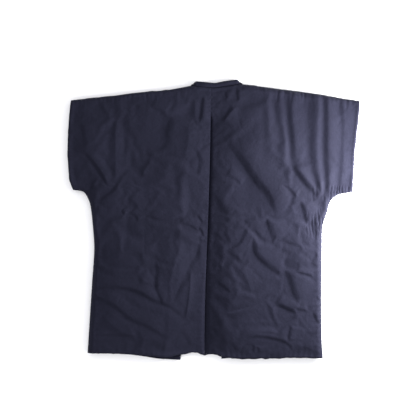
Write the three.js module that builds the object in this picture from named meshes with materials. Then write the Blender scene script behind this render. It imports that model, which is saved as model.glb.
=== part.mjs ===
import * as THREE from "three";

// A padded vest with cap sleeves, laid flat with its back upwards. Millimetres. +Z is up, +Y runs
// from the hem to the neck, and the wearer's left is at -X.
//
// Two back panels lie on two front panels. Each panel is one closed cushion: a grid that spans its
// four edges, with a height for its upper face and one for its underside. The neckband is a padded
// strip in two halves, rolled over behind the neck and lying flat down the front edges.

// ---- Heights and thicknesses ----
const FRONT_LOFT = 11; // height of the upper face of the front panels
const BAND_THICK = 8; // padded neckband
const BACK_LOFT = 15.5; // back panel away from its seams
const BACK_RIM_LOFT = 11.5; // back panel just inside its seams, before it swells to BACK_LOFT
const CROWN_REACH = 75; // distance over which the back swells
const SEWN_EDGE = 1.5; // thickness where a side or shoulder seam pinches a panel
const LEAST_EDGE = 0.9; // and the least that the back keeps where it dips
const JOINED_EDGE = 6; // thickness at the neckline and at the neckband's seam
const SEAM_EDGE = { left: 12, right: 5.5 }; // thickness of each back at the centre seam
const SEAM_EDGE_LOW = { left: 7.5, right: 5.5 }; // the same below the waist
const SEAM_EDGE_NECK = 12.5; // and near the neck
const SEAM_REACH = { left: 140, right: 62 }; // distance over which each back rises from that seam
const SEAM_SWELL = 1.6; // power of that rise: it is steeper by the seam
const WAIST_REACH = 130; // the seam gets its thickness below the waist over this distance
const NECK_EDGE_FROM = 250; // height on the back at which the seam starts to thicken to the neck
const NECK_EDGE_REACH = 40; // and the distance over which it does
const FOLD_CLEAR = 22; // folds fade out over this distance from every edge
const SIDE_SEAM_Z = 9; // height at which front and back meet at the sides and shoulders
const NECK_SEAM_Z = 12.4; // height of the back's underside at the middle of the neckline
const GAP = 0.3; // clearance between neighbouring pieces
const SEAM_GAP = 0.9; // clearance in plan beside the neckband's curved seam
const SIDE_ROUND = 14; // radius of the roll beside a side or shoulder seam
const OPEN_ROUND = 7; // radius of the nose at the hem and the cuffs
const NECK_ROUND = 18; // radius of the roll beside the neckline
const DIP_HIGH = 1.5; // the back's dip into the front opening at the shoulder blades
const DIP_LOW = 7; // and below the waist
const DIP_REACH = 45; // the upper face dips over this distance to each side of a band's loose edge
const BAND_WIDTH = 42; // neckband from its seam to its loose edge
const FOLD_FILL = 0.8; // half thickness of the folded neckband, as a share of the fold's radius
const FOLD_TIGHT = 2.4; // radius under which a fold presses the band thinner still
const FOLD_EASE = 10; // the band gets its full thickness over this distance past its fold
const FOLD_SLOPE = 0.2; // and beside the end of the fold, this much a millimetre along the seam

// ---- Outline in plan ----
const SIDE_EDGE = [
  { at: "hem", leftX: -332, leftY: -352, rightX: 288.6, rightY: -366 },
  { at: "low hip", leftX: -330, leftY: -322, rightX: 286, rightY: -330 },
  { at: "hip", leftX: -325.5, leftY: -250, rightX: 284.5, rightY: -262 },
  { at: "waist", leftX: -320, leftY: -165, rightX: 284.5, rightY: -180 },
  { at: "chest", leftX: -314.5, leftY: -75, rightX: 286, rightY: -80 },
  { at: "below arm", leftX: -318, leftY: -20, rightX: 288, rightY: -18 },
  { at: "arm curve", leftX: -322, leftY: 20, rightX: 300, rightY: 20 },
  { at: "arm turn", leftX: -327.5, leftY: 47, rightX: 308, rightY: 46 },
  { at: "sleeve turn", leftX: -343, leftY: 72, rightX: 327, rightY: 63 },
  { at: "cuff foot", leftX: -370, leftY: 77, rightX: 365, rightY: 71 },
];
const CUFF_EDGE = [
  { at: "cuff foot", leftX: -370, leftY: 77, rightX: 365, rightY: 71 },
  { at: "low", leftX: -378, leftY: 105, rightX: 368, rightY: 125 },
  { at: "middle", leftX: -383, leftY: 180, rightX: 372, rightY: 185 },
  { at: "high", leftX: -380, leftY: 257, rightX: 380, rightY: 257 },
  { at: "cuff head", leftX: -375, leftY: 313.6, rightX: 385, rightY: 311.5 },
];
const SHOULDER_EDGE = [
  { at: "neck point", leftX: -64.7, leftY: 351, rightX: 80.5, rightY: 355.6 },
  { at: "inner", leftX: -119, leftY: 341, rightX: 135, rightY: 348.4 },
  { at: "middle", leftX: -198, leftY: 334, rightX: 198, rightY: 340.2 },
  { at: "outer", leftX: -261, leftY: 326, rightX: 261, rightY: 331.8 },
  { at: "pleats", leftX: -286, leftY: 323.6, rightX: 291, rightY: 327 },
  { at: "sleeve", leftX: -315, leftY: 320, rightX: 320, rightY: 320.6 },
  { at: "cuff head", leftX: -375, leftY: 313.6, rightX: 385, rightY: 311.5 },
];
const CENTRE_SEAM = [
  { at: "hem", x: -23.5, y: -359.5 },
  { at: "hip", x: -23.5, y: -300 },
  { at: "waist", x: -20.5, y: -160 },
  { at: "shoulder blades", x: -14.5, y: 0 },
  { at: "upper back", x: -9.5, y: 170 },
  { at: "neck", x: -6.5, y: 345.1 },
];
const BACK_HEM = [
  { at: "side", leftX: -332, leftY: -352, rightX: 288.6, rightY: -366 },
  { at: "outer", leftX: -245, leftY: -353.5, rightX: 210, rightY: -364 },
  { at: "middle", leftX: -166, leftY: -359, rightX: 125, rightY: -365.5 },
  { at: "over the band", leftX: -125, leftY: -362, rightX: 55, rightY: -365 },
  { at: "band's loose edge", leftX: -87, leftY: -356, rightX: 20, rightY: -362 },
  { at: "opening", leftX: -46, leftY: -352.8, rightX: -3, rightY: -355.5 },
  { at: "centre seam", leftX: -23.5, leftY: -359.5, rightX: -23.5, rightY: -359.5 },
];
const FRONT_HEM = [
  { at: "side", leftX: -331, leftY: -350, rightX: 287.6, rightY: -363.5 },
  { at: "middle", leftX: -220, leftY: -353, rightX: 170, rightY: -362.5 },
  { at: "band", leftX: -129.6, leftY: -364.5, rightX: 66, rightY: -364.5 },
];

// ---- Neckband: one row a station, from the join behind the neck to the hem ----
// seamX, seamY, seamZ: its sewn edge. roll: how far its middle line bulges out past that edge.
// freeX, freeY: its loose edge, on the floor.
const BAND_LEFT = [
  { at: "join", seamX: 3.8, seamY: 345.9, seamZ: 14, roll: 9.8, freeX: 3.8, freeY: 333 },
  { at: "behind neck", seamX: -22, seamY: 347.3, seamZ: 14, roll: 10.6, freeX: -8, freeY: 332.5 },
  { at: "before the turn", seamX: -44, seamY: 349.2, seamZ: 12, roll: 11.6, freeX: -16, freeY: 327 },
  { at: "roll runs out", seamX: -55, seamY: 350.2, seamZ: 8.5, roll: 5.4, freeX: -20.5, freeY: 320 },
  { at: "neck point", seamX: -63.8, seamY: 351.2, seamZ: 5.5, roll: 0, freeX: -23, freeY: 312 },
  { at: "below the point", seamX: -66.4, seamY: 335, seamZ: 5, roll: 0, freeX: -24.6, freeY: 302 },
  { at: "upper front", seamX: -69.5, seamY: 300, seamZ: 4, roll: 0, freeX: -27.3, freeY: 284 },
  { at: "chest", seamX: -78.6, seamY: 200, seamZ: 4, roll: 0, freeX: -36.6, freeY: 196 },
  { at: "waist", seamX: -98, seamY: -20, seamZ: 4, roll: 0, freeX: -55.6, freeY: -24 },
  { at: "hip", seamX: -115, seamY: -200, seamZ: 4, roll: 0, freeX: -72.6, freeY: -204 },
  { at: "hem", seamX: -129.6, seamY: -370, seamZ: 4, roll: 0, freeX: -87.2, freeY: -372.5 },
];
const BAND_RIGHT = [
  { at: "join", seamX: 4.2, seamY: 345.9, seamZ: 14, roll: 9.8, freeX: 4.2, freeY: 333 },
  { at: "behind neck", seamX: 34, seamY: 349.6, seamZ: 14, roll: 11.6, freeX: 19, freeY: 333.5 },
  { at: "before the turn", seamX: 59, seamY: 353, seamZ: 12, roll: 13, freeX: 30, freeY: 330 },
  { at: "roll runs out", seamX: 71, seamY: 354.5, seamZ: 8.5, roll: 5.6, freeX: 36, freeY: 322 },
  { at: "neck point", seamX: 79.6, seamY: 355.8, seamZ: 5.5, roll: 0, freeX: 38, freeY: 314 },
  { at: "below the point", seamX: 80.2, seamY: 339, seamZ: 5, roll: 0, freeX: 38.3, freeY: 304 },
  { at: "upper front", seamX: 79.4, seamY: 303, seamZ: 4, roll: 0, freeX: 37.4, freeY: 286 },
  { at: "chest", seamX: 77.4, seamY: 200, seamZ: 4, roll: 0, freeX: 35, freeY: 198 },
  { at: "waist", seamX: 73, seamY: -20, seamZ: 4, roll: 0, freeX: 30, freeY: -22 },
  { at: "hip", seamX: 69.4, seamY: -200, seamZ: 4, roll: 0, freeX: 25.6, freeY: -202 },
  { at: "hem", seamX: 66, seamY: -366.5, seamZ: 4, roll: 0, freeX: 21, freeY: -369 },
];

// ---- The largest folds of the back: height > 0 is a ridge, height < 0 a trough ----
const FOLDS = [
  { at: "right sleeve", fromX: 272, fromY: 314, toX: 272, toY: 84, width: 9, height: 2.2 },
  { at: "right sleeve", fromX: 287, fromY: 316, toX: 290, toY: 70, width: 8, height: -2.4 },
  { at: "right sleeve", fromX: 300, fromY: 314, toX: 303, toY: 74, width: 9, height: 1.6 },
  { at: "right sleeve", fromX: 331, fromY: 300, toX: 328, toY: 100, width: 9, height: -1.6 },
  { at: "right blade", fromX: 246, fromY: 296, toX: 255, toY: 118, width: 10, height: -2 },
  { at: "right blade", fromX: 206, fromY: 290, toX: 223, toY: 122, width: 10, height: 1.6 },
  { at: "right blade", fromX: 192, fromY: 286, toX: 201, toY: 126, width: 9, height: -1.2 },
  { at: "right blade", fromX: 142, fromY: 290, toX: 150, toY: 140, width: 11, height: 1.2 },
  { at: "right blade", fromX: 118, fromY: 230, toX: 118, toY: 155, width: 55, height: 3.6 },
  { at: "right blade", fromX: 58, fromY: 164, toX: 158, toY: 8, width: 12, height: -2.8 },
  { at: "right arm", fromX: 212, fromY: 120, toX: 264, toY: 64, width: 10, height: -2 },
  { at: "right waist", fromX: 103, fromY: -46, toX: 178, toY: -152, width: 12, height: -2.4 },
  { at: "right hip", fromX: 192, fromY: -138, toX: 218, toY: -220, width: 10, height: -2.8 },
  { at: "right hip", fromX: 212, fromY: -236, toX: 160, toY: -296, width: 10, height: -1.8 },
  { at: "right waist", fromX: 84, fromY: -20, toX: 34, toY: -80, width: 12, height: -1.8 },
  { at: "right flank", fromX: 142, fromY: -2, toX: 156, toY: -58, width: 10, height: -1.8 },
  { at: "left hip", fromX: -316, fromY: -184, toX: -196, toY: -194, width: 11, height: -2.2 },
  { at: "left hip", fromX: -196, fromY: -194, toX: -96, toY: -240, width: 11, height: -2.6 },
  { at: "left hip", fromX: -306, fromY: -208, toX: -120, toY: -316, width: 12, height: -1.9 },
  { at: "left flank", fromX: -56, fromY: -112, toX: -88, toY: -172, width: 11, height: -2.2 },
  { at: "left hip", fromX: -60, fromY: -132, toX: -74, toY: -264, width: 9, height: 1.6 },
  { at: "left sleeve", fromX: -343, fromY: 178, toX: -278, toY: 84, width: 10, height: -2.2 },
  { at: "left flank", fromX: -246, fromY: 100, toX: -306, toY: 48, width: 10, height: -1.8 },
  { at: "left sleeve", fromX: -256, fromY: 262, toX: -258, toY: 100, width: 10, height: 1.6 },
  { at: "left blade", fromX: -128, fromY: 262, toX: -150, toY: 184, width: 11, height: -1.8 },
  { at: "left neck", fromX: -60, fromY: 284, toX: -50, toY: 270, width: 9, height: -2 },
];

// ---- Small helpers ----
const clamp01 = (t) => Math.min(1, Math.max(0, t));
const smooth = (t) => clamp01(t) ** 2 * (3 - 2 * clamp01(t));
// Quarter-round profile: 0 at the edge, 1 from the distance r inwards.
const round = (d, r) => (d >= r ? 1 : Math.sqrt(Math.max(0, 1 - (1 - d / r) ** 2)));
const v2 = (x, y) => new THREE.Vector3(x, y, 0);

function spline(points) {
  return new THREE.CatmullRomCurve3(points, false, "centripetal");
}

// A spline through one part's columns of a table, such as leftX and leftY.
function edge(table, part) {
  return spline(table.map((row) => v2(row[part + "X"], row[part + "Y"])));
}

// Edges one after another, read by the share of their joint length.
class Path {
  constructor(...curves) {
    this.curves = curves;
    this.lengths = curves.map((curve) => curve.getLength());
    this.length = this.lengths.reduce((sum, part) => sum + part, 0);
  }
  at(share) {
    let left = share * this.length;
    for (let i = 0; i < this.curves.length; i++) {
      if (left <= this.lengths[i] || i === this.curves.length - 1)
        return this.curves[i].getPointAt(clamp01(left / this.lengths[i]));
      left -= this.lengths[i];
    }
    return null;
  }
}

// A curve as a chain of short steps, for distances in plan.
function chain(curve, steps = 60) {
  return Array.from({ length: steps + 1 }, (_, i) => curve.getPointAt(i / steps));
}

// Distance in plan from (x, y) to a chain.
function distance(points, x, y) {
  let best = Infinity;
  for (let i = 1; i < points.length; i++) {
    const a = points[i - 1];
    const b = points[i];
    const dx = b.x - a.x;
    const dy = b.y - a.y;
    const t = clamp01(((x - a.x) * dx + (y - a.y) * dy) / (dx * dx + dy * dy));
    best = Math.min(best, Math.hypot(x - a.x - t * dx, y - a.y - t * dy));
  }
  return best;
}

// Whether (x, y) lies inside a closed chain.
function inside(points, x, y) {
  let odd = false;
  for (let i = 0, j = points.length - 1; i < points.length; j = i++) {
    const a = points[i];
    const b = points[j];
    if (a.y > y !== b.y > y && x < ((b.x - a.x) * (y - a.y)) / (b.y - a.y) + a.x) odd = !odd;
  }
  return odd;
}

// Shares of a length: close together by its ends (distances in near), evenly spaced between them.
function spread(length, near, far, pitch) {
  const first = near[near.length - 1];
  const last = length - far[far.length - 1];
  const count = Math.max(1, Math.round((last - first) / pitch));
  const between = Array.from({ length: count - 1 }, (_, i) => first + ((i + 1) * (last - first)) / count);
  const marks = [...near, ...between, ...far.map((d) => length - d).reverse()];
  return marks.map((mark) => mark / length);
}

// ---- The neckband's edges in plan ----
const NECK_POINT = 4; // row of the neckband's tables at which the shoulder seam ends
const BANDS = {
  left: { table: BAND_LEFT, sign: -1 },
  right: { table: BAND_RIGHT, sign: 1 },
};
for (const band of Object.values(BANDS)) {
  band.neck = edge(band.table.slice(0, NECK_POINT + 1), "seam");
  band.front = edge(band.table.slice(NECK_POINT), "seam");
  band.free = edge(band.table, "free");
}
const NECK_HOLE = [...chain(BANDS.left.free, 160).reverse(), ...chain(BANDS.right.free, 160)];
const HOLE_OUTLINE = [...NECK_HOLE, v2(NECK_HOLE[320].x, -500), v2(NECK_HOLE[0].x, -500)];

const centreSeam = spline(CENTRE_SEAM.map((row) => v2(row.x, row.y)));
const neckStart = CENTRE_SEAM[CENTRE_SEAM.length - 1];
function necklineOf(side) {
  const rows = BANDS[side].table.slice(side === "left" ? 1 : 0, NECK_POINT);
  const end = SHOULDER_EDGE[0];
  return spline([
    v2(neckStart.x, neckStart.y),
    ...rows.map((row) => v2(row.seamX, row.seamY - SEAM_GAP)),
    v2(end[side + "X"], end[side + "Y"]),
  ]);
}
const neckline = { left: necklineOf("left"), right: necklineOf("right") };

const OUTLINE = {};
for (const side of ["left", "right"]) {
  OUTLINE[side] = {
    side: edge(SIDE_EDGE, side),
    cuff: edge(CUFF_EDGE, side),
    shoulder: edge(SHOULDER_EDGE, side),
    backHem: edge(BACK_HEM, side),
    frontHem: edge(FRONT_HEM, side),
  };
}
const chains = {};
for (const side of ["left", "right"]) {
  chains[side] = {
    sewn: chain(OUTLINE[side].side, 90),
    cuff: chain(OUTLINE[side].cuff, 40),
    shoulder: chain(OUTLINE[side].shoulder, 60),
    neck: chain(neckline[side], 20),
    backHem: chain(OUTLINE[side].backHem, 60),
    frontHem: chain(OUTLINE[side].frontHem, 40),
    front: chain(BANDS[side].front, 80),
  };
}
const centreChain = chain(centreSeam, 60);

// Height of the surface that the back lies on, the front panels and the bands, and higher over the
// rolled neckband.
function restHeight(side, x, y) {
  const lines = chains[side];
  const toSewn = Math.min(distance(lines.sewn, x, y), distance(lines.shoulder, x, y));
  const z = SIDE_SEAM_Z + (FRONT_LOFT - SIDE_SEAM_Z) * smooth(toSewn / 17);
  const toNeck = distance(lines.neck, x, y);
  const fromPoint = Math.hypot(x - lines.shoulder[0].x, y - lines.shoulder[0].y);
  const neckZ = SIDE_SEAM_Z + (NECK_SEAM_Z - SIDE_SEAM_Z) * smooth(fromPoint / 34);
  return Math.max(z, neckZ * (1 - smooth(toNeck / 46)));
}

// How far the back dips between the two bands at (x, y): [its underside, its upper face]. The
// underside starts inside the opening, and the upper face over the bands.
function dips(x, y) {
  const depth = DIP_LOW + (DIP_HIGH - DIP_LOW) * smooth((y + 100) / 300);
  const away = distance(NECK_HOLE, x, y);
  const open = inside(HOLE_OUTLINE, x, y);
  const upper = smooth((DIP_REACH + (open ? away : -away)) / (2 * DIP_REACH));
  return [open ? depth * smooth((away - 3) / 30) : 0, depth * upper];
}

// Height of the front's upper face, a little lower where it nears its seams.
function frontHeight(side, x, y) {
  const lines = chains[side];
  const toSewn = Math.min(distance(lines.sewn, x, y), distance(lines.shoulder, x, y));
  const toBand = distance(lines.front, x, y);
  const z = BAND_THICK + (FRONT_LOFT - BAND_THICK) * smooth(toBand / 26);
  return SIDE_SEAM_Z + (z - SIDE_SEAM_Z) * smooth((toSewn - 5) / 28);
}

// Sum of the back's folds at (x, y). Each fades out towards its two ends.
function foldHeight(x, y) {
  let sum = 0;
  for (const fold of FOLDS) {
    const dx = fold.toX - fold.fromX;
    const dy = fold.toY - fold.fromY;
    const t = ((x - fold.fromX) * dx + (y - fold.fromY) * dy) / (dx * dx + dy * dy);
    const near = clamp01(t);
    const away = Math.hypot(x - fold.fromX - near * dx, y - fold.fromY - near * dy) / fold.width;
    const fade = 0.35 + 0.65 * Math.sin(Math.PI * near);
    sum += fold.height * fade * Math.exp(-away * away);
  }
  return sum;
}

// ---- Faces of the panels: each returns [underside, upper face] at (x, y) ----
function backFaces(side, x, y) {
  const lines = chains[side];
  const toSewn = distance(lines.sewn, x, y);
  const toShoulder = distance(lines.shoulder, x, y);
  const toCentre = distance(centreChain, x, y);
  const toNeck = distance(lines.neck, x, y);
  const toOpen = Math.min(distance(lines.cuff, x, y), distance(lines.backHem, x, y));
  const nearest = Math.min(toSewn, toShoulder, toNeck, toOpen);
  const loft = BACK_RIM_LOFT + (BACK_LOFT - BACK_RIM_LOFT) * smooth(nearest / CROWN_REACH);
  const pinch = round(toSewn, SIDE_ROUND) * round(toShoulder, SIDE_ROUND);
  const nose = round(toOpen, OPEN_ROUND);
  const rim = JOINED_EDGE / BACK_LOFT;
  const atNeck = rim + (1 - rim) * round(toNeck, NECK_ROUND);
  const low = SEAM_EDGE[side] + (SEAM_EDGE_LOW[side] - SEAM_EDGE[side]) * smooth(-y / WAIST_REACH);
  const high = smooth((y - NECK_EDGE_FROM) / NECK_EDGE_REACH);
  const seamRim = (low + (SEAM_EDGE_NECK - low) * high) / BACK_LOFT;
  const atSeam = 1 - (1 - seamRim) * (1 - clamp01(toCentre / SEAM_REACH[side])) ** SEAM_SWELL;
  const middle = (loft - SEWN_EDGE) * atSeam * atNeck;
  const calm = smooth(Math.min(nearest, toCentre) / FOLD_CLEAR);
  const under = restHeight(side, x, y) + GAP / 2 + (middle / 2) * (1 - nose) * pinch;
  const upper = under + SEWN_EDGE + middle * pinch * nose + foldHeight(x, y) * calm;
  const [underDip, upperDip] = dips(x, y);
  const floor = under - underDip;
  return [floor, Math.max(upper - upperDip, floor + LEAST_EDGE)];
}

function frontFaces(side, x, y) {
  const lines = chains[side];
  const toSewn = Math.min(distance(lines.sewn, x, y), distance(lines.shoulder, x, y));
  const toBand = distance(lines.front, x, y);
  const toOpen = Math.min(distance(lines.cuff, x, y), distance(lines.frontHem, x, y));
  const rest = frontHeight(side, x, y) - GAP / 2;
  const sewn = round(toSewn, SIDE_ROUND);
  const joined = round(toBand, SIDE_ROUND);
  const nose = round(toOpen, OPEN_ROUND);
  const nearPoint = smooth(Math.hypot(x - lines.front[0].x, y - lines.front[0].y) / 60);
  const seamLift = SIDE_SEAM_Z - GAP / 2 - SEWN_EDGE;
  const bandLift = seamLift + (BAND_THICK / 2 - JOINED_EDGE / 2 - seamLift) * nearPoint;
  const under = Math.max(seamLift * (1 - sewn), bandLift * (1 - joined));
  const drop = (BAND_THICK / 2 - JOINED_EDGE / 2) * (1 - joined) * nearPoint;
  const upper = rest - drop;
  const half = (upper - under - SEWN_EDGE) / 2;
  return [under + half * (1 - nose), upper - half * (1 - nose)];
}

// ---- Solids ----
function meshOf(name, vertices, faces, colour) {
  let volume = 0;
  for (const [a, b, c] of faces)
    volume += vertices[a].dot(new THREE.Vector3().crossVectors(vertices[b], vertices[c]));
  const index = faces.flatMap(([a, b, c]) => (volume > 0 ? [a, b, c] : [a, c, b]));
  const geometry = new THREE.BufferGeometry().setFromPoints(vertices);
  geometry.setIndex(index);
  geometry.computeVertexNormals();
  const mesh = new THREE.Mesh(geometry, new THREE.MeshStandardMaterial({ color: colour, roughness: 0.9 }));
  mesh.name = name;
  return mesh;
}

// A cushion over a grid in plan. The underside takes every second line of the grid, and a wall of
// three triangles to each of its edges joins the two faces.
function cushion(name, columns, rows, plan, faces, side, colour) {
  const vertices = [];
  const upper = [];
  const lower = [];
  rows.forEach((v, j) => {
    upper.push([]);
    lower.push([]);
    columns.forEach((u, i) => {
      const p = plan(u, v);
      const [z0, z1] = faces(side, p.x, p.y);
      upper[j].push(vertices.push(new THREE.Vector3(p.x, p.y, z1)) - 1);
      const kept = i % 2 === 0 && j % 2 === 0;
      lower[j].push(kept ? vertices.push(new THREE.Vector3(p.x, p.y, z0)) - 1 : -1);
    });
  });
  const triangles = [];
  const quad = (a, b, c, d) => triangles.push([a, b, c], [a, c, d]);
  for (let j = 0; j + 1 < rows.length; j++)
    for (let i = 0; i + 1 < columns.length; i++)
      quad(upper[j][i], upper[j][i + 1], upper[j + 1][i + 1], upper[j + 1][i]);
  for (let j = 0; j + 2 < rows.length; j += 2)
    for (let i = 0; i + 2 < columns.length; i += 2)
      quad(lower[j][i], lower[j + 2][i], lower[j + 2][i + 2], lower[j][i + 2]);
  const wall = (top, foot) => {
    for (let k = 0; k + 2 < top.length; k += 2) {
      triangles.push([top[k], foot[k], top[k + 1]]);
      triangles.push([top[k + 1], foot[k], foot[k + 2]]);
      triangles.push([top[k + 1], foot[k + 2], top[k + 2]]);
    }
  };
  const lastRow = rows.length - 1;
  const lastColumn = columns.length - 1;
  wall(upper[0], lower[0]);
  wall(upper.map((line) => line[lastColumn]), lower.map((line) => line[lastColumn]));
  wall([...upper[lastRow]].reverse(), [...lower[lastRow]].reverse());
  wall(upper.map((line) => line[0]).reverse(), lower.map((line) => line[0]).reverse());
  return meshOf(name, vertices, triangles, colour);
}

// Coons patch: the surface in plan that spans four edges.
function spanned(inner, outer, hem, head) {
  const corner = [hem.at(0), hem.at(1), head.at(0), head.at(1)];
  return (u, v) => {
    const p = inner.at(v).multiplyScalar(1 - u);
    p.addScaledVector(outer.at(v), u);
    p.addScaledVector(hem.at(u), 1 - v);
    p.addScaledVector(head.at(u), v);
    p.addScaledVector(corner[0], -(1 - u) * (1 - v));
    p.addScaledVector(corner[1], -u * (1 - v));
    p.addScaledVector(corner[2], -(1 - u) * v);
    return p.addScaledVector(corner[3], -u * v);
  };
}

// A spline moved sideways in plan by a distance.
function beside(curve, dx, steps = 40) {
  return spline(chain(curve, steps).map((p) => v2(p.x + dx, p.y)));
}
const reversed = (curve, steps = 40) => spline(chain(curve, steps).reverse());

// Shares of two lengths one after the other, as shares of both together.
function joinShares(first, second, share) {
  return [...first.map((s) => s * share), ...second.slice(1).map((s) => share + s * (1 - share))];
}
// The same shares, with one more in the middle where that makes the number of steps even.
function evenSteps(shares) {
  if (shares.length % 2 === 1) return shares;
  const middle = shares.length / 2;
  const added = (shares[middle - 1] + shares[middle]) / 2;
  return [...shares.slice(0, middle), added, ...shares.slice(middle)];
}

function backPanel(side) {
  const lines = OUTLINE[side];
  const sign = BANDS[side].sign;
  const inner = new Path(beside(centreSeam, (sign * GAP) / 2));
  const outer = new Path(lines.side, lines.cuff);
  const hem = new Path(reversed(lines.backHem));
  const head = new Path(neckline[side], lines.shoulder);
  const roll = [0, 1, 3.2, 7, 12, 19, 28];
  const nose = [0, 0.8, 2.4, 5, 9, 16];
  const columns = joinShares(
    spread(head.lengths[0], roll, [0], 16),
    spread(head.lengths[1], [0], roll, 17),
    head.lengths[0] / head.length,
  );
  const rows = joinShares(
    spread(outer.lengths[0], nose, [0, 5, 12], 16),
    spread(outer.lengths[1], [0, 5], roll, 17),
    outer.lengths[0] / outer.length,
  );
  const plan = spanned(inner, outer, hem, head);
  const colour = side === "left" ? 0x23263f : 0x262a45;
  return cushion("back_" + side, evenSteps(columns), evenSteps(rows), plan, backFaces, side, colour);
}

function frontPanel(side) {
  const lines = OUTLINE[side];
  const sign = BANDS[side].sign;
  const inner = new Path(beside(reversed(BANDS[side].front, 80), sign * SEAM_GAP, 80));
  const outer = new Path(lines.side, lines.cuff);
  const hem = new Path(reversed(lines.frontHem));
  const head = new Path(lines.shoulder);
  const near = [0, 3, 8, 16, 30];
  const columns = spread(head.length, near, near, 34);
  const rows = joinShares(
    spread(outer.lengths[0], [0, 2, 7, 18], [0, 8, 17, 27, 38, 51, 66, 84, 106], 34),
    spread(outer.lengths[1], [0, 8], near, 34),
    outer.lengths[0] / outer.length,
  );
  const plan = spanned(inner, outer, hem, head);
  const colour = side === "left" ? 0x1d2035 : 0x20243b;
  return cushion("front_" + side, evenSteps(columns), evenSteps(rows), plan, frontFaces, side, colour);
}

// ---- Neckband ----
// Middle line of one section, s millimetres in from the sewn edge. It leaves the edge at the slope
// psi, goes out, turns over through an arc of radius r down to the floor layer, and comes back in.
function bandSection(station) {
  const drop = Math.max(0, station.seamZ - BAND_THICK / 2);
  let psi = -Math.PI;
  let leg = 0;
  if (station.roll > drop / 2) {
    psi = 0;
    leg = station.roll - drop / 2;
  } else {
    const full = station.roll / Math.max(1e-6, drop / 2);
    psi = -Math.PI * (full > 0 ? 0.5 * (1 - full) : 0.5);
    if (drop < 3) psi = -Math.PI;
  }
  const r = drop > 1e-6 && psi > -Math.PI ? drop / (1 + Math.cos(psi)) : 0;
  return { drop, psi, leg, r };
}

function bandSurface(band, stations, across) {
  const row = (part, share) => {
    const position = share * (band.table.length - 1);
    const i = Math.min(band.table.length - 2, Math.floor(position));
    return band.table[i][part] + (band.table[i + 1][part] - band.table[i][part]) * smooth(position - i);
  };
  return stations.map((share) => {
    const turn = NECK_POINT / (band.table.length - 1);
    const seam =
      share < turn ? band.neck.getPoint(share / turn) : band.front.getPoint((share - turn) / (1 - turn));
    const free = band.free.getPoint(share);
    const station = { seamZ: row("seamZ", share), roll: row("roll", share) };
    const { drop, psi, leg, r } = bandSection(station);
    const arc = r * (psi + Math.PI);
    const turnedIn = r > 0 ? leg + r * Math.sin(psi) : 0;
    const foot = seam.clone().add(v2(0, turnedIn));
    const inward = free.distanceTo(foot);
    const total = leg + arc + inward;
    const points = across.map((part) => {
      const s = part * total;
      if (s <= leg) return new THREE.Vector3(seam.x, seam.y + s, station.seamZ);
      if (s < leg + arc) {
        const turn = psi - (s - leg) / r;
        const out = leg + r * (Math.sin(psi) - Math.sin(turn));
        const z = station.seamZ + r * (Math.cos(turn) - Math.cos(psi));
        return new THREE.Vector3(seam.x, seam.y + out, z);
      }
      const along = (s - leg - arc) / inward;
      const p = foot.clone().lerp(free, along);
      const settle = r > 0 ? 1 : smooth(along * 2.5);
      return new THREE.Vector3(p.x, p.y, station.seamZ - drop * settle);
    });
    const pastFold = across.map((part) => part * total - 2 * leg - arc);
    return { points, radius: r, pastFold };
  });
}

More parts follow.
